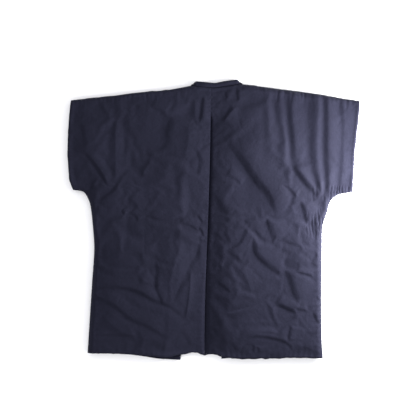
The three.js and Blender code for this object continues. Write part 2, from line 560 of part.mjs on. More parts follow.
function neckband(side) {
  const band = BANDS[side];
  const rows = band.table.length - 1;
  const stations = [];
  for (let i = 0; i < rows; i++) {
    const parts = i < 2 ? 2 : i < 6 ? 3 : 2;
    for (let k = 0; k < parts; k++) stations.push((i + k / parts) / rows);
  }
  stations.splice(1, 0, 0.12 / rows);
  stations.push(1 - 0.05 / rows, 1 - 0.018 / rows, 1 - 0.005 / rows, 1);
  const across = [0, 0.04, 0.12, 0.22, 0.31, 0.39, 0.47, 0.55, 0.64, 0.76, 0.88, 0.95, 0.985, 1];
  const sections = bandSurface(band, stations, across);
  const middle = sections.map((section) => section.points);
  const foldEnd = sections.findLastIndex((section) => section.radius > 0);
  // Half the thickness that the fold leaves room for, so that its two layers stay apart.
  const room = (j, i) => {
    const { radius, pastFold } = sections[Math.min(j, foldEnd)];
    const inFold = FOLD_FILL * radius * Math.min(1, radius / FOLD_TIGHT);
    if (j <= foldEnd) return inFold + BAND_THICK * smooth(pastFold[i] / FOLD_EASE);
    return inFold + FOLD_SLOPE * middle[j][0].distanceTo(middle[foldEnd][0]);
  };
  const vertices = [];
  const upper = [];
  const lower = [];
  const last = stations.length - 1;
  const lengthFrom = (j, end) => middle[j][6].distanceTo(middle[end][6]);
  middle.forEach((line, j) => {
    upper.push([]);
    lower.push([]);
    line.forEach((point, i) => {
      const along = middle[Math.min(last, j + 1)][i].clone().sub(middle[Math.max(0, j - 1)][i]);
      const acrossBand = line[Math.min(across.length - 1, i + 1)].clone().sub(line[Math.max(0, i - 1)]);
      const normal = new THREE.Vector3().crossVectors(along, acrossBand).normalize();
      normal.multiplyScalar(-band.sign);
      if (j === 0) normal.setX(0).normalize();
      const fromSeam = across[i] * BAND_WIDTH;
      const fromFree = (1 - across[i]) * BAND_WIDTH;
      const swell = JOINED_EDGE + (BAND_THICK - JOINED_EDGE) * round(fromSeam, 8);
      const thick = SEWN_EDGE + (swell - SEWN_EDGE) * round(fromFree, 4);
      const end = round(lengthFrom(j, last), 5) * (0.6 + 0.4 * round(lengthFrom(j, 0), 5));
      const half = Math.min((SEWN_EDGE + (thick - SEWN_EDGE) * end) / 2, room(j, i));
      const a = point.clone().addScaledVector(normal, half);
      const b = point.clone().addScaledVector(normal, -half);
      a.z = Math.max(0, a.z);
      b.z = Math.max(0, b.z);
      upper[j].push(vertices.push(a) - 1);
      lower[j].push(vertices.push(b) - 1);
    });
  });
  const triangles = [];
  const quad = (a, b, c, d) => triangles.push([a, b, c], [a, c, d]);
  const n = across.length - 1;
  for (let j = 0; j < last; j++) {
    for (let i = 0; i < n; i++) {
      quad(upper[j][i], upper[j + 1][i], upper[j + 1][i + 1], upper[j][i + 1]);
      quad(lower[j][i], lower[j][i + 1], lower[j + 1][i + 1], lower[j + 1][i]);
    }
    quad(upper[j][0], lower[j][0], lower[j + 1][0], upper[j + 1][0]);
    quad(upper[j][n], upper[j + 1][n], lower[j + 1][n], lower[j][n]);
  }
  for (let i = 0; i < n; i++) {
    quad(upper[0][i], upper[0][i + 1], lower[0][i + 1], lower[0][i]);
    quad(upper[last][i], lower[last][i], lower[last][i + 1], upper[last][i + 1]);
  }
  return meshOf("neckband_" + side, vertices, triangles, side === "left" ? 0x2b2f4d : 0x30344f);
}

// ---- Assembly ----
const group = new THREE.Group();
group.name = "padded_vest";
for (const side of ["left", "right"]) group.add(backPanel(side), frontPanel(side), neckband(side));

// The origin is the middle of the outline in plan, and the lowest faces are at Z = 0.
const box = new THREE.Box3().setFromObject(group);
group.position.set(-(box.min.x + box.max.x) / 2, -(box.min.y + box.max.y) / 2, -box.min.z);

export default group;
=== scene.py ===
import math
import bpy
import numpy as np
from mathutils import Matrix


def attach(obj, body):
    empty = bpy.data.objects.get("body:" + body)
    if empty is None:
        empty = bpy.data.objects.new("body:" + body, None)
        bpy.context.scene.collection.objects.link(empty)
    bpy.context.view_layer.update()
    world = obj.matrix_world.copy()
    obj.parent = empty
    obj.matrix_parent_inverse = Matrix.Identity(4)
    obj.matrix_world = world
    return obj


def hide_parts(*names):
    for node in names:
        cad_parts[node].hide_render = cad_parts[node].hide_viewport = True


# A padded navy cotton vest, laid flat with its back upwards. Sizes are in millimetres until a mesh
# is written. +X is towards the wearer's right, +Y from the hem to the neck, +Z up.
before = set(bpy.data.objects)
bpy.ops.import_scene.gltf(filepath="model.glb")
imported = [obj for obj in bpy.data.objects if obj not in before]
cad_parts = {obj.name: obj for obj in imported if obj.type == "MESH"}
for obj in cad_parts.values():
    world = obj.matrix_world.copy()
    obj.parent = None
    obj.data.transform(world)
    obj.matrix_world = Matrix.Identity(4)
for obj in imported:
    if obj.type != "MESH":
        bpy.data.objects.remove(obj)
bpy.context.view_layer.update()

MM = 0.001
MIDDLE = (-0.982, 1.806)  # brings the middle of the outline to the origin

# ---------------------------------------------------------------- the cut
FRONT_LOFT = 11.0  # height of the front panels
BAND_THICK = 8.0  # the neckband
FOLD_FILL = 0.8  # half thickness of the folded neckband, as a share of the fold's radius
FOLD_TIGHT = 2.4  # radius under which a fold presses the band thinner still
FOLD_EASE = 10  # the band gets its full thickness over this distance past its fold
FOLD_SLOPE = 0.2  # and beside the end of the fold, this much a millimetre along the seam
BACK_LOFT = 15.5  # the back away from its seams
BACK_RIM_LOFT = 11.5  # the back just inside its seams
CROWN_REACH = 75.0  # distance over which the back swells
SEWN_EDGE = 1.5  # thickness at a side or shoulder seam
JOINED_EDGE = 6.0  # thickness at the neckband's seam
SIDE_SEAM_Z = 9.0  # height of the side and shoulder seams
NECK_SEAM_Z = 12.4  # height of the neckband's seam on the back
GAP = 0.3  # between panels that lie on each other
SEAM_GAP = 0.9  # between a back and the neckband
SEAM_SLIT = 0.03  # half the slit of the centre seam
SIDE_ROUND = 14.0  # how far in from a rim the wadding rounds off
SHOULDER_ROUND = 10.0
OPEN_ROUND = 7.0
SEAM_EDGE = {"left": 12.0, "right": 5.5}  # thickness of each back at the centre seam
SEAM_EDGE_LOW = {"left": 7.5, "right": 5.5}  # the same below the waist
SEAM_EDGE_NECK = 12.5  # and near the neck
WAIST_REACH = 130.0  # the low edge is reached this far below y = 0
NECK_EDGE_FROM, NECK_EDGE_REACH = 250.0, 40.0  # where the neck's edge begins, and how soon it is reached
SEAM_SWELL = 1.6  # how roundly the back rises from the centre seam
SEAM_REACH = {"left": 140.0, "right": 62.0}  # how far each back rises from that seam
NECK_ROUND = 18.0
DIP_HIGH = 1.5  # the back's dip into the front opening at the shoulder blades
DIP_LOW = 7.0  # and below the waist
DIP_REACH = 45.0
BAND_WIDTH = 42.0
LEAST_DROP = 3.0  # the band isn't folded where its seam is less than this above its floor layer
LEAST_EDGE = 0.9  # the thinnest that a back gets where it dips
RELIEF_EASE = 16.0  # relief gets its full height over this distance from a rim
SIGN = {"left": -1, "right": 1}
BACK_MESH = dict(pitch=2.1, fine=0.5, reach=12)  # steps in the middle and at the rims, and their blend
FRONT_MESH = dict(pitch=3.4, fine=0.8, reach=14)
BAND_MESH = dict(pitch=0.03, fine=0.008, reach=0.12)
FRONT_SLIT = 0.25  # between a front and its band
SIM_PITCH = 4.6  # the simulated cloth's mesh
SIM_FRAMES = 20
SIM_HOLD = 0.11  # how firmly the wadding holds the cloth
SIM_SLOW = 0.75  # share of the slow part of the movement that is taken off
SIM_PASSES = 50  # smoothing passes that find the slow part
SLEEVE_FROM = (235, 40)  # the cloth moves less on the right sleeve, outwards and up from here
SHOULDER_CALM = ((75, 265), (75, 70))  # and least round the right shoulder: middle and reach
SIM_EASE = {"left": 0.006, "right": 0.009}  # how much larger the cloth is than its wadding
SIM_LIMIT = 7.0  # the farthest that the cloth moves

SIDE_EDGE = [
    dict(at="hem", left=(-332, -352), right=(288.6, -366)),
    dict(at="low hip", left=(-330, -322), right=(286, -330)),
    dict(at="hip", left=(-325.5, -250), right=(284.5, -262)),
    dict(at="waist", left=(-320, -165), right=(284.5, -180)),
    dict(at="chest", left=(-314.5, -75), right=(286, -80)),
    dict(at="below arm", left=(-318, -20), right=(288, -18)),
    dict(at="arm curve", left=(-322, 20), right=(300, 20)),
    dict(at="arm turn", left=(-327.5, 47), right=(308, 46)),
    dict(at="sleeve turn", left=(-343, 72), right=(327, 63)),
    dict(at="cuff foot", left=(-370, 77), right=(365, 71)),
]
CUFF_EDGE = [
    dict(at="cuff foot", left=(-370, 77), right=(365, 71)),
    dict(at="low", left=(-378, 105), right=(368, 125)),
    dict(at="middle", left=(-383, 180), right=(372, 185)),
    dict(at="high", left=(-380, 257), right=(380, 257)),
    dict(at="cuff head", left=(-375, 313.6), right=(385, 311.5)),
]
SHOULDER_EDGE = [
    dict(at="neck point", left=(-64.7, 351), right=(80.5, 355.6)),
    dict(at="inner", left=(-119, 341), right=(135, 348.4)),
    dict(at="middle", left=(-198, 334), right=(198, 340.2)),
    dict(at="outer", left=(-261, 326), right=(261, 331.8)),
    dict(at="pleats", left=(-286, 323.6), right=(291, 327)),
    dict(at="sleeve", left=(-315, 320), right=(320, 320.6)),
    dict(at="cuff head", left=(-375, 313.6), right=(385, 311.5)),
]
CENTRE_SEAM = [
    dict(at="hem", x=-23.5, y=-359.5),
    dict(at="hip", x=-23.5, y=-300),
    dict(at="waist", x=-20.5, y=-160),
    dict(at="shoulder blades", x=-14.5, y=0),
    dict(at="upper back", x=-9.5, y=170),
    dict(at="neck", x=-6.5, y=345.1),
]
BACK_HEM = [
    dict(at="side", left=(-332, -352), right=(288.6, -366)),
    dict(at="outer", left=(-245, -353.5), right=(210, -364)),
    dict(at="middle", left=(-166, -359), right=(125, -365.5)),
    dict(at="over the band", left=(-125, -362), right=(55, -365)),
    dict(at="band's loose edge", left=(-87, -356), right=(20, -362)),
    dict(at="opening", left=(-46, -352.8), right=(-3, -355.5)),
    dict(at="centre seam", left=(-23.5, -359.5), right=(-23.5, -359.5)),
]
FRONT_HEM = [
    dict(at="side", left=(-331, -350), right=(287.6, -363.5)),
    dict(at="middle", left=(-220, -353), right=(170, -362.5)),
    dict(at="band", left=(-129.6, -364.5), right=(66, -364.5)),
]
# Neckband, from the join behind the neck to the hem: its sewn edge and that edge's height, how far
# it rolls out past the edge, and its loose edge on the floor.
NECKBAND = {
    "left": [
        dict(at="join", seam=(3.95, 345.9), z=14, roll=9.8, free=(3.95, 333)),
        dict(at="behind neck", seam=(-22, 347.3), z=14, roll=10.6, free=(-8, 332.5)),
        dict(at="before the turn", seam=(-44, 349.2), z=12, roll=11.6, free=(-16, 327)),
        dict(at="roll runs out", seam=(-55, 350.2), z=8.5, roll=5.4, free=(-20.5, 320)),
        dict(at="neck point", seam=(-63.8, 351.2), z=5.5, roll=0, free=(-23, 312)),
        dict(at="below the point", seam=(-66.4, 335), z=5, roll=0, free=(-24.6, 302)),
        dict(at="upper front", seam=(-69.5, 300), z=4, roll=0, free=(-27.3, 284)),
        dict(at="chest", seam=(-78.6, 200), z=4, roll=0, free=(-36.6, 196)),
        dict(at="waist", seam=(-98, -20), z=4, roll=0, free=(-55.6, -24)),
        dict(at="hip", seam=(-115, -200), z=4, roll=0, free=(-72.6, -204)),
        dict(at="hem", seam=(-129.6, -370), z=4, roll=0, free=(-87.2, -372.5)),
    ],
    "right": [
        dict(at="join", seam=(4.05, 345.9), z=14, roll=9.8, free=(4.05, 333)),
        dict(at="behind neck", seam=(34, 349.6), z=14, roll=11.6, free=(19, 333.5)),
        dict(at="before the turn", seam=(59, 353), z=12, roll=13, free=(30, 330)),
        dict(at="roll runs out", seam=(71, 354.5), z=8.5, roll=5.6, free=(36, 322)),
        dict(at="neck point", seam=(79.6, 355.8), z=5.5, roll=0, free=(38, 314)),
        dict(at="below the point", seam=(80.2, 339), z=5, roll=0, free=(38.3, 304)),
        dict(at="upper front", seam=(79.4, 303), z=4, roll=0, free=(37.4, 286)),
        dict(at="chest", seam=(77.4, 200), z=4, roll=0, free=(35, 198)),
        dict(at="waist", seam=(73, -20), z=4, roll=0, free=(30, -22)),
        dict(at="hip", seam=(69.4, -200), z=4, roll=0, free=(25.6, -202)),
        dict(at="hem", seam=(66, -366.5), z=4, roll=0, free=(21, -369)),
    ],
}
NECK_POINT = 4

# ---------------------------------------------------------------- creases of the back


def fold(width, depth, lip, *path):
    """A crease along a path: width is its half width, depth > 0 a trough and depth < 0 a ridge, and lip
    the share of the depth that stands up as a swelling beside it."""
    return dict(width=width, depth=depth, lip=lip, path=path)


CREASES = [
    # right sleeve
    fold(4.0, 1.2, 0.3, (330, 312), (330, 262)),
    fold(8, 0.8, 0.2, (352, 300), (356, 200), (350, 110)),
    # right shoulder blade
    fold(12, 4.6, 0.5, (32, 204), (48, 179), (63, 157), (86, 125), (112, 87), (142, 47), (160, 4)),
    fold(5, 2.2, 0.4, (176, 92), (196, 76), (217, 54)),
    fold(10, 4.6, 0.4, (200, 134), (226, 102), (250, 77), (274, 52)),
    fold(5, 1.7, 0.4, (32, 110), (55, 103), (69, 88)),
    fold(7, 2.8, 0.45, (224, 50), (232, 20), (238, -12)),
    # right neck
    fold(4.5, 2.2, 0.3, (61, 346), (59, 328), (62, 306)),
    fold(6, 1.6, 0.4, (46, 302), (36, 280), (16, 258)),
    fold(5, -1.5, 0, (64, 296), (44, 276), (24, 252)),
    fold(3.6, 1.2, 0.4, (30, 334), (33, 312)),
    # right waist and flank
    fold(10, 3.0, 0.45, (138, 2), (143, -30), (155, -66)),
    fold(9, 3.0, 0.5, (100, -40), (104, -88), (140, -125), (180, -156)),
    fold(10, 3.2, 0.5, (186, -132), (200, -178), (217, -224)),
    fold(5, 2.0, 0.4, (209, -232), (226, -240), (246, -242)),
    fold(7, 3.0, 0.45, (158, -226), (188, -236), (220, -252)),
    fold(4.5, 1.9, 0.4, (218, -252), (190, -272), (160, -298)),
    fold(5, 2.0, 0.4, (199, -274), (196, -296), (190, -315)),
    fold(5, 2.2, 0.4, (257, -240), (266, -262), (281, -281)),
    fold(4.5, 1.7, 0.4, (268, -200), (274, -212), (283, -219)),
    fold(5, 1.5, 0.4, (269, -84), (262, -98), (250, -113)),
    fold(3.6, 1.5, 0.4, (211, -139), (238, -144), (262, -153)),
    fold(6, 1.7, 0.4, (176, -56), (202, -68), (231, -73)),
    fold(6.5, 2.3, 0.4, (84, -17), (66, -56), (32, -82)),
    fold(7, 1.9, 0.3, (29, 8), (30, -10)),
    fold(3.2, 2.2, 0.4, (157, -188), (98, -224), (56, -238), (22, -244)),
    fold(5, 1.6, 0.4, (6, -164), (26, -180), (46, -195)),
    fold(5, 1.2, 0.3, (8, -122), (20, -128)),
    fold(5, 1.9, 0.45, (66, -354), (78, -328), (103, -311), (150, -314), (191, -327), (210, -352)),
    fold(4, 1.5, 0.4, (100, -350), (104, -326)),
    fold(4, 1.2, 0.4, (118, -352), (114, -332)),
    fold(6, 1.5, 0.4, (228, -334), (244, -312), (262, -300)),
    fold(11, -1.4, 0, (60, -120), (86, -150), (100, -190)),
    # left back: neck and blade
    fold(5.5, 2.8, 0.4, (-27, 326), (-33, 292), (-37, 246)),
    fold(6, -1.6, 0, (-49, 318), (-50, 268)),
    fold(5, 1.4, 0.3, (-52, 262), (-44, 244), (-28, 240)),
    fold(20, 2.6, 0.6, (-122, 284), (-134, 232), (-150, 170)),
    fold(6, 1.8, 0.4, (-168, 293), (-146, 283), (-120, 267)),
    fold(8, -1.7, 0, (-164, 164), (-176, 138), (-188, 111)),
    fold(12, -1.5, 0, (-70, 250), (-66, 200), (-76, 150)),
    fold(7, 1.4, 0.3, (-52, 190), (-40, 150), (-44, 110)),
    # left sleeve
    fold(4.4, 2.6, 0.5, (-345, 180), (-310, 138), (-276, 82)),
    fold(5.5, 2.2, 0.4, (-245, 100), (-276, 72), (-307, 48)),
    fold(8, -1.8, 0, (-255, 264), (-257, 180), (-255, 100)),
    fold(7, 1.8, 0.3, (-326, 90), (-318, 80)),
    fold(8, 1.5, 0.3, (-350, 256), (-345, 220), (-338, 186)),
    fold(8, 1.2, 0.3, (-300, 312), (-292, 280), (-272, 262)),
    fold(8, -1.2, 0, (-222, 60), (-200, 40), (-190, 18)),
    # left waist
    fold(4.4, 1.5, 0.4, (-243, 26), (-236, 10)),
    fold(4.4, 1.7, 0.4, (-222, 16), (-208, 8), (-197, -8)),
    fold(4.6, 1.9, 0.4, (-180, 8), (-146, -2), (-111, -3), (-80, 11)),
    fold(4.6, 1.8, 0.4, (-92, -12), (-66, -18), (-40, -31)),
    fold(9, 3.0, 0.45, (-36, -52), (-45, -92), (-61, -118), (-79, -155), (-94, -190), (-108, -222)),
    fold(4.5, -1.7, 0, (-58, -128), (-62, -190), (-74, -268)),
    fold(7, 1.6, 0.4, (-152, -110), (-153, -150), (-147, -186)),
    fold(5.5, 2.0, 0.4, (-157, -156), (-151, -186), (-134, -226)),
    fold(3.6, 1.4, 0.4, (-44, 12), (-36, -2), (-28, -8)),
    fold(3.8, 1.5, 0.4, (-42, -20), (-32, -34), (-27, -46)),
    fold(3.6, 1.3, 0.4, (-40, -52), (-30, -60)),
    # left hip
    fold(6.5, 2.8, 0.45, (-380, -180), (-300, -183), (-240, -184), (-198, -194), (-154, -218),
         (-125, -227), (-94, -244)),
    fold(7, 2.2, 0.4, (-380, -176), (-316, -204), (-267, -227), (-222, -262), (-170, -286), (-114, -320)),
    fold(10, -1.6, 0, (-200, -150), (-166, -166), (-130, -170)),
    fold(12, -1.2, 0, (-290, -250), (-250, -286), (-200, -306)),
    fold(7, 1.2, 0.3, (-96, -290), (-74, -312), (-62, -340)),
    # lines of the hem's sewing
    fold(2.4, 0.9, 0.3, (-314, -304), (-255, -305), (-196, -306)),
    fold(2.4, 0.8, 0.3, (112, -295), (140, -297), (170, -299)),
]
# Pleats from the right shoulder down to the arm: crests and hollows by turns, each with its x at
# PLEAT_Y and its height.
PLEAT_Y = (80, 130, 200, 300)
PLEATS = [
    dict(at="blade", x=(150, 120, 130, 125), z=-0.3), dict(at="crest", x=(175, 150, 149, 141), z=0.9),
    dict(at="hollow", x=(200, 170, 170, 158), z=-0.4), dict(at="crest", x=(215, 184, 186, 173), z=0.5),
    dict(at="hollow", x=(238, 202, 196, 190), z=-0.9), dict(at="crest", x=(260, 222, 213, 205), z=1.6),
    dict(at="hollow", x=(270, 254, 247, 243), z=-2.0), dict(at="crest", x=(280, 272, 269, 272), z=1.5),
    dict(at="hollow", x=(291, 289, 286, 287), z=-1.6), dict(at="crest", x=(303, 303, 301, 299), z=1.2),
    dict(at="hollow", x=(325, 329, 332, 331), z=-1.9), dict(at="crest", x=(335, 340, 343, 341), z=-0.7),
    dict(at="cuff", x=(358, 363, 366, 372), z=-1.8),
]
BROAD_FORMS = [
    dict(at="beside the neck", middle=(-68, 277), reach=(20, 15), height=-2.0),
    dict(at="under the long crease", middle=(100, 30), reach=(46, 60), height=-1.5),
    dict(at="blade", middle=(118, 195), reach=(62, 80), height=5.0),
    dict(at="before the long crease", middle=(84, 92), reach=(30, 46), height=-2.4),
    dict(at="over the long crease", middle=(170, 90), reach=(50, 50), height=1.6),
    dict(at="right shoulder", middle=(90, 290), reach=(70, 60), height=1.8),
    dict(at="right waist", middle=(75, -190), reach=(48, 80), height=1.6),
    dict(at="right flank", middle=(235, -110), reach=(40, 60), height=1.8),
    dict(at="left hip", middle=(-100, -150), reach=(44, 75), height=2.6),
    dict(at="left of the oval", middle=(-150, -150), reach=(26, 60), height=-2.0),
    dict(at="over the seam", middle=(-10, -60), reach=(62, 240), height=2.4),
    dict(at="left middle", middle=(-215, 130), reach=(110, 190), height=-4.5),
    dict(at="left waist", middle=(-230, -90), reach=(60, 70), height=1.2),
    dict(at="left sleeve", middle=(-300, 200), reach=(50, 60), height=1.3),
]
# Short puckers that run in from the shoulder seam: (x where each starts, length, depth).
SHOULDER_PUCKERS = [
    (143, 14, 1.0), (169, 30, 1.6), (187, 22, 1.4),
    (206, 32, 1.7), (227, 18, 1.3), (238, 26, 1.5),
    (256, 16, 1.2), (120, 12, 0.8), (-84, 16, 1.0),
    (-92, 12, 0.9), (-132, 14, 0.7), (-176, 18, 0.9),
    (-214, 14, 0.8), (-262, 20, 0.9), (-306, 14, 0.8),
    (350, 26, 1.4), (364, 18, 1.1),
]


# ---------------------------------------------------------------- curves in plan
def smooth(t):
    """3t^2 - 2t^3, held between 0 and 1."""
    t = np.clip(t, 0.0, 1.0)
    return t * t * (3 - 2 * t)


def rounded(d, r):
    """Quarter-round profile: 0 at an edge, sqrt(1 - (1 - d/r)^2) inside it, and 1 from the distance r."""
    return np.sqrt(np.clip(1 - (1 - np.clip(d / r, 0, 1)) ** 2, 0, 1))


def nearest_of(*distances):
    """The least of some distances, blended where they are alike: (sum of d^-4)^(-1/4)."""
    return sum(np.maximum(d, 1e-3) ** -4.0 for d in distances) ** -0.25


class Line:
    """A curve in plan, kept as a chain of short steps and read by the share of its length."""

    def __init__(self, points):
        self.points = np.asarray(points, float)
        steps = np.linalg.norm(np.diff(self.points, axis=0), axis=1)
        self.reach = np.concatenate([[0.0], np.cumsum(steps)])
        self.length = self.reach[-1]

    def at(self, share):
        s = np.asarray(share, float) * self.length
        return np.stack([np.interp(s, self.reach, column) for column in self.points.T], -1)

    def even(self, steps):
        return Line(self.at(np.linspace(0, 1, steps + 1)))

    def back(self):
        return Line(self.points[::-1])

    def then(self, other):
        return Line(np.vstack([self.points, other.points]))

    def moved(self, dx):
        return Line(self.points + [dx, 0.0])

    def measure(self, x, y):
        """(distance, side, share along) of each point: the nearest point over all steps; side is the
        sign of the cross product with that step."""
        best = np.full(x.shape, 1e9)
        side = np.zeros(x.shape)
        share = np.zeros(x.shape)
        for k, (a, b) in enumerate(zip(self.points[:-1], self.points[1:])):
            d = b - a
            size = d @ d
            if size < 1e-12:
                continue
            t = np.clip(((x - a[0]) * d[0] + (y - a[1]) * d[1]) / size, 0, 1)
            away = np.hypot(x - a[0] - t * d[0], y - a[1] - t * d[1])
            near = away < best
            best = np.where(near, away, best)
            side = np.where(near, np.sign(d[0] * (y - a[1]) - d[1] * (x - a[0])), side)
            share = np.where(near, (self.reach[k] + t * math.sqrt(size)) / self.length, share)
        return best, side, share

    def away(self, x, y):
        return self.measure(x, y)[0]


def spline(points, steps=14):
    """Centripetal Catmull-Rom curve through the points: cubic in each interval, with tangents weighted
    by the square roots of the neighbouring distances."""
    p = np.asarray(points, float)
    if len(p) == 2:
        return p
    p = np.vstack([2 * p[0] - p[1], p, 2 * p[-1] - p[-2]])
    t = np.linspace(0, 1, steps + 1)[:-1, None]
    run = []
    for a, b, c, d in zip(p[:-3], p[1:-2], p[2:-1], p[3:]):
        s0, s1, s2 = (max(np.linalg.norm(v) ** 0.5, 1e-4) for v in (b - a, c - b, d - c))
        m0 = ((b - a) / s0 - (c - a) / (s0 + s1) + (c - b) / s1) * s1
        m1 = ((c - b) / s1 - (d - b) / (s1 + s2) + (d - c) / s2) * s1
        run.append(b + m0 * t + (3 * (c - b) - 2 * m0 - m1) * t**2 + (2 * (b - c) + m0 + m1) * t**3)
    return np.vstack([*run, p[-2:-1]])


def edge(table, part):
    """The curve through one column of a table."""
    return Line(spline([row[part] for row in table]))


def inside(outline, x, y):
    """Even-odd rule: counts the outline's steps that a ray along +X crosses."""
    odd = np.zeros(x.shape, bool)
    for a, b in zip(outline, np.roll(outline, 1, axis=0)):
        if a[1] != b[1]:
            crosses = ((a[1] > y) != (b[1] > y)) & (x < (b[0] - a[0]) * (y - a[1]) / (b[1] - a[1]) + a[0])
            odd ^= crosses
    return odd


centre_seam = Line(spline([(row["x"], row["y"]) for row in CENTRE_SEAM]))
side_edge = {s: edge(SIDE_EDGE, s) for s in SIGN}
cuff_edge = {s: edge(CUFF_EDGE, s) for s in SIGN}
shoulder_edge = {s: edge(SHOULDER_EDGE, s) for s in SIGN}
back_hem = {s: edge(BACK_HEM, s) for s in SIGN}
front_hem = {s: edge(FRONT_HEM, s) for s in SIGN}
band_front = {s: edge(NECKBAND[s][NECK_POINT:], "seam") for s in SIGN}
band_free = {s: edge(NECKBAND[s], "free") for s in SIGN}
neckline = {}
for s in SIGN:
    rows = NECKBAND[s][1 if s == "left" else 0:NECK_POINT]
    start = (CENTRE_SEAM[-1]["x"], CENTRE_SEAM[-1]["y"])
    along = [(row["seam"][0], row["seam"][1] - SEAM_GAP) for row in rows]
    neckline[s] = Line(spline([start, *along, SHOULDER_EDGE[0][s]]))
neck_hole = band_free["left"].even(90).back().then(band_free["right"].even(90))
hole_outline = np.vstack([neck_hole.points, [neck_hole.points[-1][0], -500], [neck_hole.points[0][0], -500]])


# ---------------------------------------------------------------- uneven cloth
def lumps(x, y, size, seed):
    """Smooth random heights from -1 to 1: seeded values on a square lattice of that spacing, blended
    between its corners by 3t^2 - 2t^3."""
    values = np.random.default_rng(seed).uniform(-1, 1, (97, 89))
    u, v = x / size + 300.5, y / size + 300.25
    i, j = np.floor(u).astype(int), np.floor(v).astype(int)
    a, b = smooth(u - i), smooth(v - j)

    def pick(di, dj):
        return values[(i + di) % 97, (j + dj) % 89]

    low = pick(0, 0) * (1 - a) + pick(1, 0) * a
    high = pick(0, 1) * (1 - a) + pick(1, 1) * a
    return low * (1 - b) + high * b


def small_creases(x, y, size, thin, seed):
    """Short creases along the zero lines of smooth noise, in patches: -exp(-(n/thin)^2), where another
    noise is above zero."""
    warp_x = x + 0.5 * size * lumps(x, y, 1.7 * size, seed + 1)
    warp_y = y + 0.5 * size * lumps(x, y, 1.7 * size, seed + 2)
    n = lumps(warp_x, warp_y, size, seed) + 0.35 * lumps(warp_x, warp_y, 0.45 * size, seed + 3)
    patch = smooth(1.6 * lumps(x, y, 2.1 * size, seed + 4))
    return -np.exp(-((n / thin) ** 2)) * patch


def crease_height(x, y):
    """Sum of the named creases. Across each one, with q the distance over its width and q > 0 on its
    right, a trough is -0.55 depth exp(-|q/s|^1.4), s = 2 on its left and 0.8 on its right, and the cloth
    stands up to its right as 1.5 lip depth exp(-((q - 1.7)/s)^2), s = 1.1 rising and 3 falling. A ridge
    is -depth exp(-|q|^1.4), steeper on its left. Both fade and narrow to their ends."""
    total = np.zeros(x.shape)
    for k, crease in enumerate(CREASES):
        line = Line(spline(crease["path"], 5))
        w, depth = crease["width"], crease["depth"]
        (x0, y0), (x1, y1) = line.points.min(0) - 9 * w, line.points.max(0) + 9 * w
        near = (x > x0) & (x < x1) & (y > y0) & (y < y1)
        if not near.any():
            continue
        px, py = x[near], y[near]
        wander = 0.4 * w * min(1, 90 / line.length) * lumps(px, py, 26, 500 + k)
        d, side, share = line.measure(px + wander, py - wander)
        run = line.points[-1] - line.points[0]
        ends = smooth(share / 0.25) * smooth((1 - share) / 0.25)
        across = d * side * (1 if 0.35 * run[0] > run[1] else -1) / (w * (0.55 + 0.45 * ends))
        uneven = 1 + 0.35 * lumps(px, py, 34, 700 + k)
        if depth > 0:
            dip = np.exp(-(np.abs(across / np.where(across > 0, 0.8, 2.0)) ** 1.4))
            swell = np.exp(-(((across - 1.7) / np.where(across > 1.7, 3.0, 1.1)) ** 2))
            rise = depth * (1.5 * crease["lip"] * swell - 0.55 * dip)
        else:
            rise = -depth * np.exp(-(np.abs(across / np.where(across > 0, 1.5, 0.9)) ** 1.4))
        total[near] += rise * ends * uneven
    return total


def pleat_height(x, y):
    """Pleats of the right sleeve: heights of the crests and hollows, with 3t^2 - 2t^3 between them. They
    fade out under the arm."""
    rows = [np.interp(y, PLEAT_Y, pleat["x"]) for pleat in PLEATS]
    x = x + 1.5 * lumps(x, y, 60, 97)
    total = PLEATS[0]["z"] + 0 * x
    for k in range(len(PLEATS) - 1):
        share = smooth((x - rows[k]) / (rows[k + 1] - rows[k]))
        total += (PLEATS[k + 1]["z"] - PLEATS[k]["z"]) * share
    foot = 120 - 62 * smooth((x - 195) / 55)
    return total * smooth((y - foot) / 36)


def gather_height(x, y, to_side):
    """Fine gathers under the arms: hollows across x every 8.5 mm, -(0.5 + 0.5 cos)^2, wandering with
    smooth noise and broken into strokes by noise stretched along y."""
    phase = 2 * math.pi * x / 8.5 + 3.2 * lumps(x, y, 30, 61) + 1.2 * lumps(x, y, 9, 62) + 0.02 * y
    strokes = smooth(0.45 + 1.5 * lumps(x, 0.32 * y, 6.5, 63))
    right = smooth((x - 228) / 26) * smooth((92 - y) / 10) * smooth((y + 58) / 36) * np.exp(-to_side / 40)
    left = (x < 0) * smooth((84 - y) / 10) * smooth((y - 10) / 26) * np.exp(-to_side / 10)
    return -(0.5 + 0.5 * np.cos(phase)) ** 2 * strokes * (2.9 * right + 1.8 * left)


def mound(x, y, middle, reach):
    """exp(-((x - x0)/a)^2 - ((y - y0)/b)^2)."""
    return np.exp(-(((x - middle[0]) / reach[0]) ** 2) - ((y - middle[1]) / reach[1]) ** 2)


def broad_height(x, y):
    """Hollows and swells of the wadding: the sum of their mounds, each by its height."""
    return sum(form["height"] * mound(x, y, form["middle"], form["reach"]) for form in BROAD_FORMS)


